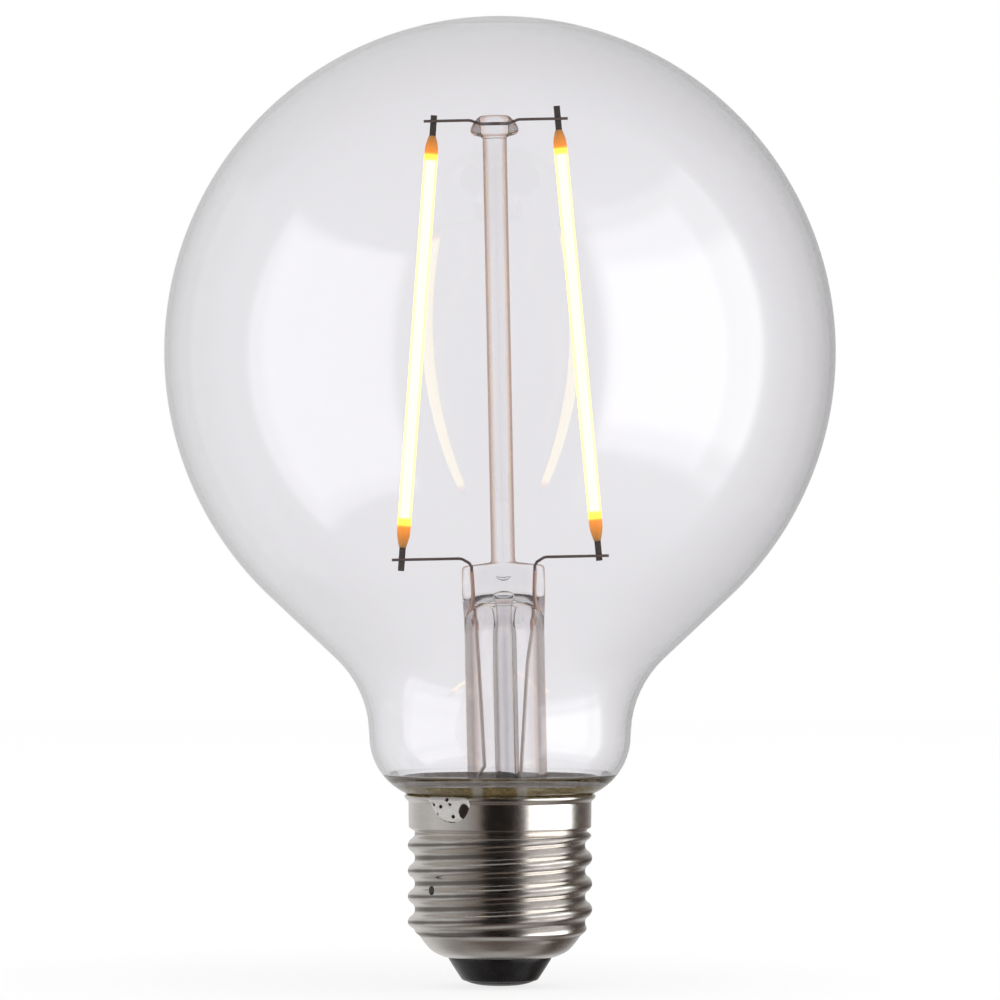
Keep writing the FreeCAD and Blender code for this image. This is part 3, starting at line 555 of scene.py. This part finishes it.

# %% [markdown]
# Soda-lime glass is faintly tinted, more so where light goes a long way through it. Here the
# tint is the surface's own colour, so each skin that light passes takes its share. The globe's
# grey is far stronger than the glass's own tint: the rest is painted shade, for a greyer backdrop
# behind the lamp. On the mount, where a rod or a tube turns away from the eye, which the Facing
# value of Layer Weight says, its edge is painted coppery: a painted reflection of the glowing
# filaments, with a little of the drawn glass's own warmth.

# %% Glass finish
clear = finish("clear glass")
gx, gy, gz = clear.axes()
aside = gx - 1.0 * MM
from_axis = (aside * aside + gy * gy).math("SQRT")
on_mount = (1 - from_axis.step(6.2 * MM, 7.2 * MM)) * gz.between(29.2 * MM, 126.5 * MM, 0.6 * MM)
by_height = 0.4 + 0.6 * gz.step(56 * MM, 60 * MM)
# painted reflection: a coppery edge where the mount's rods and tubes turn away from the eye
painted_edge_share = clear.value(clear.node("ShaderNodeLayerWeight"), "Facing") * on_mount * by_height
# PALE is the globe's own faint tint with painted shade added, for a greyer backdrop seen through it
PALE, CLEARER = (0.94, 0.933, 0.950), (0.985, 0.978, 0.975)
tint_with_painted_light = clear.ramp(painted_edge_share, [
    (0.0, PALE), (0.001, CLEARER), (0.08, (0.94, 0.93, 0.94)), (0.17, (0.88, 0.80, 0.76)),
    (0.28, (0.68, 0.48, 0.40)), (0.48, (0.46, 0.29, 0.23)), (1.0, (0.30, 0.18, 0.14)),
])
clear.surface(Base_Color=tint_with_painted_light, Roughness=0.0, IOR=1.52, Transmission_Weight=1.0)
dress(glass, clear)

# %% [markdown]
# ## The screw cap
# The cap is thin nickel-plated sheet: a flared lip, a plain skirt, a thread rolled into it
# and a rounded end. A rolled thread has round crests and round roots, so its height is two
# circle arcs that meet halfway. The surface is radius as a function of height and angle,
# where the thread climbs one pitch in each turn, so no helix has to be swept.

# %% Thread and cap surface
PITCH, ROOT_R, DEPTH, CREST_Z = 3.629, 12.05, 1.0, 7.12
THREAD_FOOT, SKIRT_FOOT = 7.4, 22.0
SKIRT_STEP = 0.87                  # from the thread's roots out to the skirt
CAP_COLUMNS = 256


def thread_height(turns):
    """Two arcs: DEPTH - R + sqrt(R^2 - d^2) near a crest and R - sqrt(R^2 - (2q - d)^2) near a root,
    with d the way to the crest, q a quarter of the pitch and R = (q^2 + (DEPTH/2)^2) / DEPTH."""
    q = PITCH / 4
    radius = (q * q + DEPTH ** 2 / 4) / DEPTH
    d = np.abs((turns + 0.5) % 1 - 0.5) * PITCH
    crest = DEPTH - radius + np.sqrt(radius ** 2 - np.minimum(d, q) ** 2)
    root = radius - np.sqrt(radius ** 2 - np.clip(2 * q - d, 0, q) ** 2)
    return np.where(d < q, crest, root)


def cap_outside():
    """Radius by height and angle: end, thread, skirt and lip run into each other by smooth shares."""
    z = np.arange(THREAD_FOOT + 0.22, SKIRT_FOOT + 0.7, 0.13)[:, None]
    a = np.linspace(0, 2 * np.pi, CAP_COLUMNS, endpoint=False)[None, :]
    ridge = thread_height((z - CREST_Z) / PITCH - a / (2 * np.pi))
    start = smooth(THREAD_FOOT, THREAD_FOOT + 1.3, z)
    end = 1 - smooth(SKIRT_FOOT - 0.9, SKIRT_FOOT + 0.1, z)
    r = ROOT_R + start * end * ridge + SKIRT_STEP * smooth(SKIRT_FOOT - 0.25, SKIRT_FOOT + 0.45, z)
    return np.stack([r * np.cos(a), r * np.sin(a), z + 0 * a], -1)


def cap_shell():
    """One closed line of rings: from the end's curl up the outside and over the lip, which is seen,
    and back down the inside, which isn't and has few rings."""
    below = drawn([
        (7.42, 4.3, 0), (7.45, 3.97, 0.15), (8.0, 4.08, 0.4), (9.35, 4.67, 0.5), (10.1, 5.3, 0.5),
        (10.97, 6.37, 0.4), (11.3, 6.94, 0.3), (11.95, 7.45, 0.1), (12.05, 7.6, 0),
    ])
    above = drawn([
        (12.92, 22.75, 0), (12.95, 24.0, 0.5), (12.95, 26.02, 0.12), (13.46, 26.5, 0.1), (13.56, 26.8, 0.1),
        (13.42, 27.05, 0.1), (13.2, 26.9, 0.3), (12.67, 26.2, 0.4), (12.65, 22.9, 0.5), (11.7, 21.9, 0.4),
        (11.0, 21.5, 0.6), (11.0, 8.0, 1.0), (9.9, 6.2, 0.8), (7.5, 4.5, 0.2), (7.44, 4.4, 0),
    ])
    upper = above[:, 1] > 21.6
    rings = np.concatenate([
        turned(even(below, 0.16)[:-1], CAP_COLUMNS), cap_outside(),
        turned(even(above[upper], 0.14), CAP_COLUMNS), turned(even(above[~upper], 1.2), CAP_COLUMNS),
    ])
    return shell(np.concatenate([rings, rings[:1]]))


cap = piece("cap", [cap_shell()], ("screw_shell",))

# %% [markdown]
# The plating is satin: bright, but with a mist of fine marks round it from the rolling, so
# its roughness varies a little and a very shallow bump breaks up the reflections. Where the
# rolls stretched the sheet most, along each crest and each root, it is duller, and there its
# colour is also painted nearly black: painted shade, for the dark that the turns of the thread
# throw on each other. The way to the nearest crest, in turns, comes from the same formula as
# the thread's shape. The small pin hole at the front left is not cut; it is painted shade, a
# dark ellipse in the colour.

# %% Cap finish
plated = finish("nickel plate")
mist = plated.noise(900, 4, 0.6, (1, 1, 2.5))
marks = plated.noise(260, 2, 0.5, (0.25, 0.25, 6))
px, py, pz = plated.axes()
turn = py.math("ARCTAN2", px) / (2 * math.pi)
from_crest = ((pz - CREST_Z * MM) / (PITCH * MM) - turn + 0.5).math("FRACT") - 0.5
from_crest = from_crest.math("ABSOLUTE")
threaded = pz.between((THREAD_FOOT - 0.4) * MM, (SKIRT_FOOT - 0.3) * MM, 0.0004)
wander = plated.noise(420, 2, 0.5) * 0.05
at_crest = 1 - (from_crest + wander).step(0.045, 0.13)
at_root = (from_crest - wander).step(0.33, 0.43)
# dull makes the crests and roots rougher, and it is also the share of painted shade there
dull = at_crest.math("MAXIMUM", at_root) * threaded
# the pin hole is painted shade: a near-black, non-metal ellipse on the front half, not a cut
HOLE_X, HOLE_Z, HOLE_WIDE, HOLE_HIGH = -9.62, 13.82, 0.38, 0.62
hole_across = (px - HOLE_X * MM) / (HOLE_WIDE * MM)
hole_up = (pz - HOLE_Z * MM) / (HOLE_HIGH * MM)
solid = (hole_across * hole_across + hole_up * hole_up).step(0.8, 1.3).math("MAXIMUM", py.step(0.0, 0.001))
sheen = mist * 0.6 + marks * 0.4
plating = plated.blend(sheen, (0.62, 0.585, 0.545), (0.80, 0.765, 0.725))
# painted shade: crests and roots darkened towards near black
plating_with_painted_shade = plated.blend(dull * 0.82, plating, (0.11, 0.092, 0.082))
plated.surface(
    Base_Color=plated.blend(solid, (0.003, 0.002, 0.002), plating_with_painted_shade), Metallic=solid,
    Roughness=0.13 + mist * 0.12 + dull * 0.12, Normal=plated.bump(mist * 0.5 + marks, 0.00004, 0.35),
)
dress(cap, plated)

# %% [markdown]
# ## Insulator and contact
# Black glass is cast into the cap's end, and a small dished plate closes it. Both are plain
# turned shapes; the plate's middle is soldered to the wire behind it.

# %% Insulator and contact
INSULATOR = [
    (0, 1.2), (4.2, 1.2), (4.75, 0.75), (5.25, 0.62), (5.8, 1.4), (7.35, 3.85), (7.4, 4.5), (9.0, 4.9),
    (9.0, 5.7), (0, 5.7),
]
CONTACT = [                        # radius, height and reach
    (0, 0.0, 0), (2.6, 0.0, 0.8), (4.0, 0.27, 0.8), (4.85, 0.6, 0.15), (4.9, 0.78, 0.1), (4.3, 0.9, 0.1),
    (0, 0.9, 0),
]
END_COLUMNS = 128


def closed_turn(line):
    """A turned body whose profile begins and ends on the axis."""
    return shell(turned(line[1:-1], END_COLUMNS), (0, 0, line[0, 1]), (0, 0, line[-1, 1]))


insulator_skin = closed_turn(even(eased(INSULATOR, 0.35), 0.25))
contact_skin = closed_turn(even(drawn(CONTACT), 0.12))
insulator = piece("insulator", [insulator_skin], ("cap_insulator",))
contact = piece("contact", [contact_skin], ("centre_contact",))

black = finish("black glass")
smear = black.noise(700, 3)
black.surface(
    Base_Color=black.blend(smear, (0.005, 0.005, 0.006), (0.016, 0.0155, 0.018)),
    Roughness=0.12 + smear * 0.25, Normal=black.bump(smear, 0.0001, 0.25),
)
dress(insulator, black)

plate = finish("contact plate")
wear = plate.noise(1500, 5, 0.65)
plate.surface(
    Base_Color=plate.blend(wear.step(0.4, 0.75), (0.02, 0.016, 0.015), (0.13, 0.115, 0.105)),
    Metallic=1.0, Roughness=0.28 + wear * 0.25, Normal=plate.bump(wear, 0.00005, 0.4),
)
dress(contact, plate)

# %% [markdown]
# ## Cement
# Brown cement was squeezed up between the glass and the cap and baked. It is grainy, its edge
# is uneven, and it fills the groove under the flange, where it shows through the glass. The
# ring is a profile carried round, then pushed in and out by a sum of sine waves with fixed
# random directions and phases.

# %% Cement
WET = 0.03                         # how far the cement reaches into the glass, so no film of air is left
CEMENT_COLUMNS = 260


def beside(line, distance):
    """The line moved sideways: each point by the distance along (dz, -dr), its unit normal."""
    along = np.gradient(line, axis=0)
    along /= np.linalg.norm(along, axis=1)[:, None]
    return line + distance * np.column_stack([along[:, 1], -along[:, 0]])


def cement_ring():
    """A U round the spigot's end: outside it to the rim, inside it up to the flange. The rubble
    lifts the rim's edge and swells the face that is free inside the cap."""
    outer = drawn([
        (9.2, 22.35, 0), (12.2, 22.4, 0.3), (12.62, 23.2, 0.3), (12.62, 26.1, 0.2), (13.15, 27.0, 0.1),
        (12.98, 27.22, 0.05), (12.3 - WET, 26.3, 0.5), (12.3 - WET, 23.0, 0.3), (11.85, 22.8 + WET, 0),
    ])
    under = drawn([(11.85, 22.8, 0), *UNDER_FLANGE, (5.2, UNDER_Z, 0)])
    inner = drawn([
        (5.2, UNDER_Z + WET, 0), (5.3, 27.1, 0.3), (7.4, 26.4, 0.6), (8.2, 25.4, 0.6), (8.2, 22.9, 0.4),
        (9.2, 22.35, 0),
    ])
    line = np.concatenate([even(outer, 0.15)[:-1], beside(even(under, 0.15), WET), even(inner, 0.3)[1:]])
    rings = turned(line, CEMENT_COLUMNS)
    r, z = np.hypot(rings[..., 0:1], rings[..., 1:2]), rings[..., 2:3]
    rim = smooth(26.7, 27.1, z) * smooth(12.75, 12.9, r) * smooth(13.6, 13.3, r) * (z < 27.4)
    lift = 0.1 * rim * rubble(rings, 1.3, 5)[..., None] * [0, 0, 1]
    free = smooth(9.4, 8.6, r) * smooth(26.6, 25.4, z)
    outward = np.concatenate([rings[..., :2] / r, 0 * z], -1)
    swell = 0.25 * free * rubble(rings, 1.0, 8)[..., None] * outward
    return shell(rings + lift + swell)


cement = piece("cement", [cement_ring()], ("cap_cement",))

# %% [markdown]
# Where the cement faces up it is pale grey, and on its flank, pressed against the glass, it is
# olive. The normal's Z tells them apart, with noise added so that the border is ragged. Two pale
# upright streaks are painted across it as a change of its colour only, with nothing built
# beneath them.

# %% Cement finish
baked = finish("capping cement")
grain = baked.noise(1900, 4, 0.65)
clods = baked.noise(520, 3, 0.6, (1, 1, 1.8))
mottle = grain * 0.5 + clods * 0.5
normal = baked.node("ShaderNodeNewGeometry").outputs["Normal"]
facing = baked.value(baked.node("ShaderNodeSeparateXYZ", None, {0: normal}), "Z")
# paler grey where the cement faces up and olive on its flanks, by the normal's Z with noise
upward_grey = (facing + clods - 0.5).step(0.05, 0.45)
olive = baked.ramp(mottle, [
    (0.32, (0.14, 0.095, 0.030)), (0.48, (0.30, 0.22, 0.085)), (0.60, (0.46, 0.36, 0.16)),
    (0.74, (0.64, 0.55, 0.36)),
])
grey = baked.ramp(mottle, [
    (0.34, (0.40, 0.35, 0.30)), (0.52, (0.70, 0.65, 0.60)), (0.68, (0.88, 0.86, 0.83)),
])
# two pale upright streaks painted across the front, a change of colour only
across = baked.axes()[0]
left_streak = across.between(-3.8 * MM, -2.4 * MM, 0.3 * MM)
right_streak = across.between(2.3 * MM, 3.75 * MM, 0.3 * MM)
streaks = left_streak.math("MAXIMUM", right_streak)
baked.surface(
    Base_Color=baked.blend(streaks * 0.55, baked.blend(upward_grey, olive, grey), (0.78, 0.74, 0.68)),
    Roughness=0.85, Normal=baked.bump(grain, 0.0002, 0.5),
)
dress(cement, baked)

# %% [markdown]
# ## Side solder
# A lump of solder holds the return wire over the rim. It wetted the lip and the skirt, ran
# down a little and froze with pits in it. Its surface is a height over an outline: the
# outline is a drop in the skirt's unrolled plane, and the height is a dome less its pits.

# %% Side solder
SOLDER_TURN = math.radians(236.3)


def skirt_radius(z):
    """The cap's outside above the thread: the plain skirt, then the lip's slope."""
    return np.interp(z, [22.0, 26.02, 26.6, 27.05, 27.6], [12.95, 12.95, 13.52, 13.4, 12.6])


SOLDER_Z = 25.1
SOLDER_EDGE = [                    # across and up, on the unrolled skirt
    (-3.4, 1.5), (-3.0, 0.5), (-1.8, -0.85), (-0.6, -1.45), (0.75, -1.72), (2.4, -1.2), (3.1, -0.4),
    (3.55, 1.1), (3.35, 1.95), (0, 2.1), (-3.1, 2.0),
]
PITS = [                           # across, up, size and depth
    (-2.25, 0.85, 0.22, 0.3), (-0.95, 0.62, 0.25, 0.36), (0.62, 0.95, 0.2, 0.3), (1.1, -0.75, 0.24, 0.36),
    (0.35, 1.6, 0.25, 0.2), (-1.75, -0.72, 0.2, 0.18), (-1.55, -0.4, 0.14, 0.14),
]
DOME, UNROLLED_R, BACK_R = 0.72, 13.3, 12.7


def solder_lump():
    """Rings from the middle to the edge: share * edge(turn), with the dome h sqrt(1 - share^3) less
    the pits, each depth * exp(-d^2 / size^2), and less the long crevice at its right. Also gives
    how dark each point is: painted shade in the pits and the crevice, and a ragged painted
    shadow along the lower edge."""
    edge = np.array(SOLDER_EDGE)
    edge = even(eased(np.vstack([edge[-1:], edge, edge[:2]]), 0.5)[7:-7], 0.05)
    way = np.arctan2(edge[:, 1], edge[:, 0]) % (2 * np.pi)
    order = np.argsort(way)
    turn = np.linspace(0, 2 * np.pi, 160, endpoint=False)[None, :]
    reach = np.interp(turn, way[order], np.hypot(edge[:, 0], edge[:, 1])[order], period=2 * np.pi)
    share = np.linspace(0.01, 1, 70)[:, None]
    across, up = share * reach * np.cos(turn), share * reach * np.sin(turn)
    dome = DOME * np.sqrt(np.clip(1 - share ** 3, 0, 1)) - 0.12 * (share > 0.985)
    dark = 0 * dome
    # the pits and the crevice are darkened as well as sunk: painted shade in the hollows
    for pit_x, pit_z, size, depth in PITS:
        pit = np.exp(-((across - pit_x) ** 2 + (up - pit_z) ** 2) / (size * size))
        dome, dark = dome - depth * pit, np.maximum(dark, 1.3 * pit)
    crevice = np.exp(-((((across - 2.7) / 0.68) ** 2 + ((up + 0.05) / 1.05) ** 2) ** 1.5))
    dome, dark = dome - 0.22 * crevice, np.maximum(dark, 1.4 * crevice)
    # a ragged dark line along the lump's lower edge: painted shadow under its rim
    low = smooth(3.5, 4.0, turn) * smooth(5.6, 5.1, turn)
    ragged = 0.955 + 0.02 * np.sin(11 * turn) + 0.012 * np.sin(23 * turn)
    dark = np.maximum(dark, 1.2 * low * np.exp(-((share - ragged) / 0.06) ** 2))
    grid = np.stack([across, up, 0 * across], -1)
    dome = dome + 0.05 * rubble(grid, 0.8, 11) * np.sqrt(np.clip(1 - share, 0, 1))
    z = SOLDER_Z + up
    r = skirt_radius(z) + dome
    a = SOLDER_TURN + across / UNROLLED_R
    rings = np.stack([r * np.cos(a), r * np.sin(a), z], -1)
    outward = np.array([math.cos(SOLDER_TURN), math.sin(SOLDER_TURN), 0])
    middle = (skirt_radius(SOLDER_Z) + 0.70) * outward + [0, 0, SOLDER_Z]
    back = BACK_R * outward + [0, 0, SOLDER_Z]
    return shell(rings, middle, back), np.concatenate([np.clip(dark, 0, 1).ravel(), [0, 0]])


skin, dark = solder_lump()
solder = piece("solder_lump", [skin], ("side_solder",), dark)
tin = finish("solder")
frost = tin.noise(1800, 4, 0.6)
soot = tin.noise(1100, 3)
# painted shade from the mesh (pits, crevice, lower edge) joined with soot, a random dark stain
painted_shade = tin.value(tin.node("ShaderNodeAttribute", {"attribute_name": "along"}), "Fac")
soot_and_shade = ((painted_shade + soot * 0.5).step(0.5, 0.85)).math("MAXIMUM", soot.step(0.64, 0.72) * 0.7)
tin.surface(
    Base_Color=tin.blend(soot_and_shade, (0.72, 0.705, 0.685), (0.030, 0.016, 0.010)),
    Metallic=0.35, Roughness=0.42 + frost * 0.2, Normal=tin.bump(frost, 0.0002, 0.8),
)
dress(solder, tin)
dress(node["centre_solder"], tin)

# %% [markdown]
# ## Filaments
# Each filament is a strip of chips under a coat of silicone with phosphor in it. Where
# chips glow behind it the coat is nearly white; just past the last chip it is yellow, and
# at the bare ends it shows its own orange. Both coats are one profile, tilted into place,
# and a value that runs along them from foot to head places the colours.

# %% Filament coats
LENGTH, COAT_R, COAT_COLUMNS = 58.5, 0.95, 40


def coat(foot_x, foot_z, head_x):
    """A long round body with tapered ends, tipped so that its head comes in, then leaned with the
    mount. Also gives the share of its length at each point."""
    line = even(drawn([
        (0.3, 0.0, 0), (0.52, 0.06, 0.1), (0.62, 0.5, 0.3), (COAT_R, 1.75, 0.9), (COAT_R, LENGTH - 1.5, 0.8),
        (0.62, LENGTH - 0.45, 0.3), (0.52, LENGTH - 0.06, 0.1), (0.3, LENGTH, 0),
    ]), 0.25)
    rings = turned(line, COAT_COLUMNS)
    tip = math.asin((head_x - foot_x) / LENGTH)
    x, y, z = rings[..., 0], rings[..., 1], rings[..., 2]
    rings = np.stack([
        x * math.cos(tip) + z * math.sin(tip) + foot_x, y,
        z * math.cos(tip) - x * math.sin(tip) + foot_z,
    ], -1)
    rings = lean_rings(rings, np.ones(len(rings)))
    along = np.concatenate([np.repeat(line[:, 1] / LENGTH, COAT_COLUMNS), [0.0, 1.0]])
    return shell(rings, rings[0].mean(0), rings[-1].mean(0)), along


COATS = {"left": (-14.2, 62.2, -8.8), "right": (13.4, 62.6, 9.1)}      # foot x, foot z and head x
coats = []
for side, place in COATS.items():
    skin, along = coat(*place)
    coats.append(piece(f"{side}_coat", [skin], (f"{side}_filament_coating",), along))

# %% [markdown]
# The coat glows where chips are behind it. Its front is so bright that the picture clips it
# to white, and its sides, where light has passed more phosphor, stay yellow. The glow stops
# a little before the ends and leaves them orange.

# %% Filament finish
glow = finish("phosphor silicone")
share = glow.value(glow.node("ShaderNodeAttribute", {"attribute_name": "along"}), "Fac")
DARK, ORANGE, YELLOW = (0.0, 0.0, 0.0), (0.16, 0.035, 0.0), (0.50, 0.27, 0.02)
ends = glow.ramp(share, [
    (0.0, DARK), (0.05, ORANGE), (0.058, YELLOW), (0.935, YELLOW), (0.951, YELLOW), (0.958, ORANGE),
    (1.0, DARK),
])
depth = glow.axes()[1]
facing = (depth.math("ABSOLUTE") / (COAT_R * MM)).step(0.35, 0.95)
core = glow.blend(facing, (0.50, 0.42, 0.09), (0.52, 0.47, 0.20))
speck = glow.noise(2500, 3)
glow.surface(
    Base_Color=glow.blend(speck, (0.86, 0.36, 0.05), (0.92, 0.45, 0.07)), Roughness=0.35,
    Emission_Color=glow.blend(share.between(0.072, 0.940, 0.004), ends, core), Emission_Strength=5.0,
    Normal=glow.bump(speck, 0.00005, 0.3),
)
for made in coats:
    dress(made, glow)

# %% [markdown]
# ## Wires, tabs, sleeves and the driver
# These keep their CAD shapes. Nickel wire is dull grey, the wire through the press is
# copper-clad and looks pink behind the glass, and the tabs are dark thin sheet.

# %% Small metals and plastics
def metal(name, dull, bright, roughness):
    """Drawn wire or rolled sheet: a bare metal with a fine grain."""
    made = finish(name)
    grain = made.noise(2200, 3)
    made.surface(
        Base_Color=made.blend(grain, dull, bright), Metallic=1.0, Roughness=roughness + grain * 0.15,
        Normal=made.bump(grain, 0.00003, 0.3),
    )
    return made


def plastic(name, dark, pale, roughness):
    """A moulded, fired or lacquered body with a fine grain."""
    made = finish(name)
    grain = made.noise(1500, 3)
    made.surface(
        Base_Color=made.blend(grain, dark, pale), Roughness=roughness + grain * 0.1,
        Normal=made.bump(grain, 0.00004, 0.3),
    )
    return made


nickel = metal("nickel wire", (0.15, 0.105, 0.095), (0.28, 0.21, 0.19), 0.35)
copper = metal("copper-clad wire", (0.62, 0.36, 0.28), (0.78, 0.5, 0.42), 0.3)
bare = metal("tinned wire", (0.62, 0.52, 0.46), (0.78, 0.68, 0.62), 0.35)
sheet = metal("tab sheet", (0.07, 0.05, 0.043), (0.14, 0.105, 0.09), 0.45)
tube = plastic("sleeve", (0.66, 0.63, 0.6), (0.78, 0.75, 0.72), 0.5)
ceramic = plastic("strip ceramic", (0.85, 0.84, 0.8), (0.93, 0.92, 0.9), 0.4)
chip = plastic("chips", (0.6, 0.7, 0.85), (0.7, 0.8, 0.95), 0.2)
board = plastic("board", (0.55, 0.52, 0.42), (0.68, 0.65, 0.55), 0.5)
moulded = plastic("moulded black", (0.015, 0.015, 0.015), (0.04, 0.04, 0.04), 0.5)
can = plastic("capacitor sleeve", (0.03, 0.035, 0.06), (0.06, 0.07, 0.1), 0.3)
lacquer = plastic("lacquer", (0.2, 0.36, 0.26), (0.28, 0.46, 0.34), 0.35)
finishes = {
    nickel: ["bridge_wire", "left_inner_lead", "right_inner_lead"],
    copper: ["left_seal_wire", "right_seal_wire", "side_wire"],
    bare: ["left_outer_lead", "right_outer_lead"],
    sheet: ["left_foot_tab", "left_head_tab", "right_foot_tab", "right_head_tab"],
    tube: ["left_lead_sleeve", "right_lead_sleeve"],
    ceramic: ["left_filament_strip", "right_filament_strip"],
    chip: ["left_filament_chips", "right_filament_chips"],
    board: ["driver_board"],
    moulded: ["bridge_rectifier", "driver_chip"],
    can: ["smoothing_capacitor"],
    lacquer: ["fuse_resistor"],
    tin: ["board_solder_joints"],
}
for made, names in finishes.items():
    for name in names:
        dress(node[name], made)

# %% [markdown]
# ## Studio
# The lamp stands on a white floor in a white room. What its gloss mirrors is another
# matter: metal and glass show the studio, which is dim except for a large soft box at each
# side. So the world is white where it is seen directly or through glass, and for mirrored
# rays it is the dim studio, given by direction: the metal's by a table of brightness round
# the horizon, the glass's by two bright windows.

# %% World
def window(azimuth, elevation, az_range, el_range, soft=2.5):
    """1 inside a range of directions and 0 outside it, with edges a few degrees soft."""
    return azimuth.between(*az_range, soft) * elevation.between(*el_range, soft)


studio = Finish(bpy.data.worlds.new("studio"))
bpy.context.scene.world = studio.owner
studio.owner.cycles.sampling_method = "NONE"
direction = studio.node("ShaderNodeTexCoord").outputs["Generated"]
toward = studio.node("ShaderNodeSeparateXYZ", None, {0: direction})
dx, dy, dz = (studio.value(toward, i) for i in range(3))
azimuth = dx.math("ARCTAN2", dy * -1.0) * (180 / math.pi)      # 0 to the front, growing to the right
elevation = dz.math("ARCSINE") * (180 / math.pi)

# What the metal mirrors: brightness by share of the way round from the back, over the left,
# and weaker towards the ceiling and the floor.
round_about = studio.ramp(azimuth / 360 + 0.5, [(place, (level,) * 3) for place, level in [
    (0.0, 0.70), (0.09, 0.70), (0.16, 0.55), (0.21, 0.55), (0.253, 0.63), (0.31, 0.54), (0.356, 0.43),
    (0.39, 0.36), (0.425, 0.24), (0.440, 0.05), (0.455, 0.012), (0.54, 0.012), (0.565, 0.05),
    (0.588, 0.16), (0.597, 0.9), (0.777, 0.9), (0.79, 0.5), (0.812, 0.12), (0.85, 0.10), (0.91, 0.24),
    (1.0, 0.70),
]])
strip = window(azimuth, elevation, (38, 102), (-24, 27), 4)
level_band = 1 - elevation.math("ABSOLUTE").step(20, 75) * 0.78
around = (Value(studio, round_about) + strip * 1.5) * level_band
underneath = 0.13 + azimuth.math("ABSOLUTE").step(20, 170) * 0.27
below = (elevation * -1.0).step(42, 66)
on_metal = around * (1 - below) + underneath * below

# What the glass mirrors: a soft box at each side, and a paler wall behind the lamp.
left_box = window(azimuth, elevation, (-89, -38), (-41, 31))
right_box = window(azimuth, elevation, (38, 102), (-34, 46))
back_wall = 0.2 * dy.step(0.6, 0.97) + 0.3 * dy.step(0.985, 0.998)
in_glass = 0.45 + left_box * 0.9 + right_box * 1.2 + back_wall

# Which of these a ray sees, by the kind of ray that it is.
plain = 0.75 + 0.3 * dz.step(-0.2, 1.0)
path = studio.node("ShaderNodeLightPath")
camera_ray = studio.value(path, "Is Camera Ray")
passed = studio.value(path, "Transmission Depth").math("GREATER_THAN", 0.5)
mirrors = studio.value(path, "Glossy Depth").math("GREATER_THAN", 0.5)
diffuse = studio.value(path, "Diffuse Depth").math("GREATER_THAN", 0.5)
through = camera_ray.math("MAXIMUM", passed * (1 - mirrors))
glossy = passed * in_glass + (1 - passed) * on_metal
seen = through + (1 - through) * glossy
level = diffuse * plain + (1 - diffuse) * seen
dim = (1 - on_metal.step(0.02, 0.45)) * (1 - passed) * mirrors       # the metal's darks are warm
background = studio.node(
    "ShaderNodeBackground", None,
    {"Color": studio.blend(dim, (1, 1, 1), (1.0, 0.80, 0.70)), "Strength": level},
)
studio.node("ShaderNodeOutputWorld", None, {"Surface": background.outputs[0]})

# %% [markdown]
# ## Floor and light
# The floor is white paper that glows a little where it is seen, so that it runs into the
# white room, and still takes the lamp's faint shadow. A broad light overhead shapes what is
# matt, above all the cement and the solder; mirrors and glass don't show it.

# %% Floor and lamp
FLOOR_HALF, FLOOR_LOW = 1.2, -0.2 * MM
corners = [(x * FLOOR_HALF, y * FLOOR_HALF, FLOOR_LOW) for x, y in [(-1, -1), (1, -1), (1, 1), (-1, 1)]]
floor_mesh = bpy.data.meshes.new("floor")
floor_mesh.from_pydata(corners, [], [(0, 1, 2, 3)])
floor = bpy.data.objects.new("floor", floor_mesh)
bpy.context.collection.objects.link(floor)
floor.visible_glossy = floor.visible_transmission = False
paper = finish("white floor")
lit = paper.node("ShaderNodeBsdfDiffuse", None, {"Color": (0.9, 0.9, 0.9, 1)})
white = paper.node("ShaderNodeEmission", None, {"Color": (1, 1, 1, 1), "Strength": 1.0})
floor_path = paper.node("ShaderNodeLightPath")
is_camera, is_passed = (paper.value(floor_path, f"Is {kind} Ray") for kind in ("Camera", "Transmission"))
shown = is_camera.math("MAXIMUM", is_passed)
mix = paper.node("ShaderNodeMixShader", None, {0: shown * 0.8, 1: lit.outputs[0], 2: white.outputs[0]})
paper.node("ShaderNodeOutputMaterial", None, {"Surface": mix.outputs[0]})
floor.data.materials.append(paper.owner)

soft = bpy.data.lights.new("overhead", "AREA")
soft.energy, soft.size = 6.0, 1.0
overhead = bpy.data.objects.new("overhead", soft)
overhead.location = (0.25, -0.35, 1.3)
overhead.rotation_euler = (math.radians(15), math.radians(11), 0)
overhead.visible_glossy = overhead.visible_camera = overhead.visible_transmission = False
bpy.context.collection.objects.link(overhead)
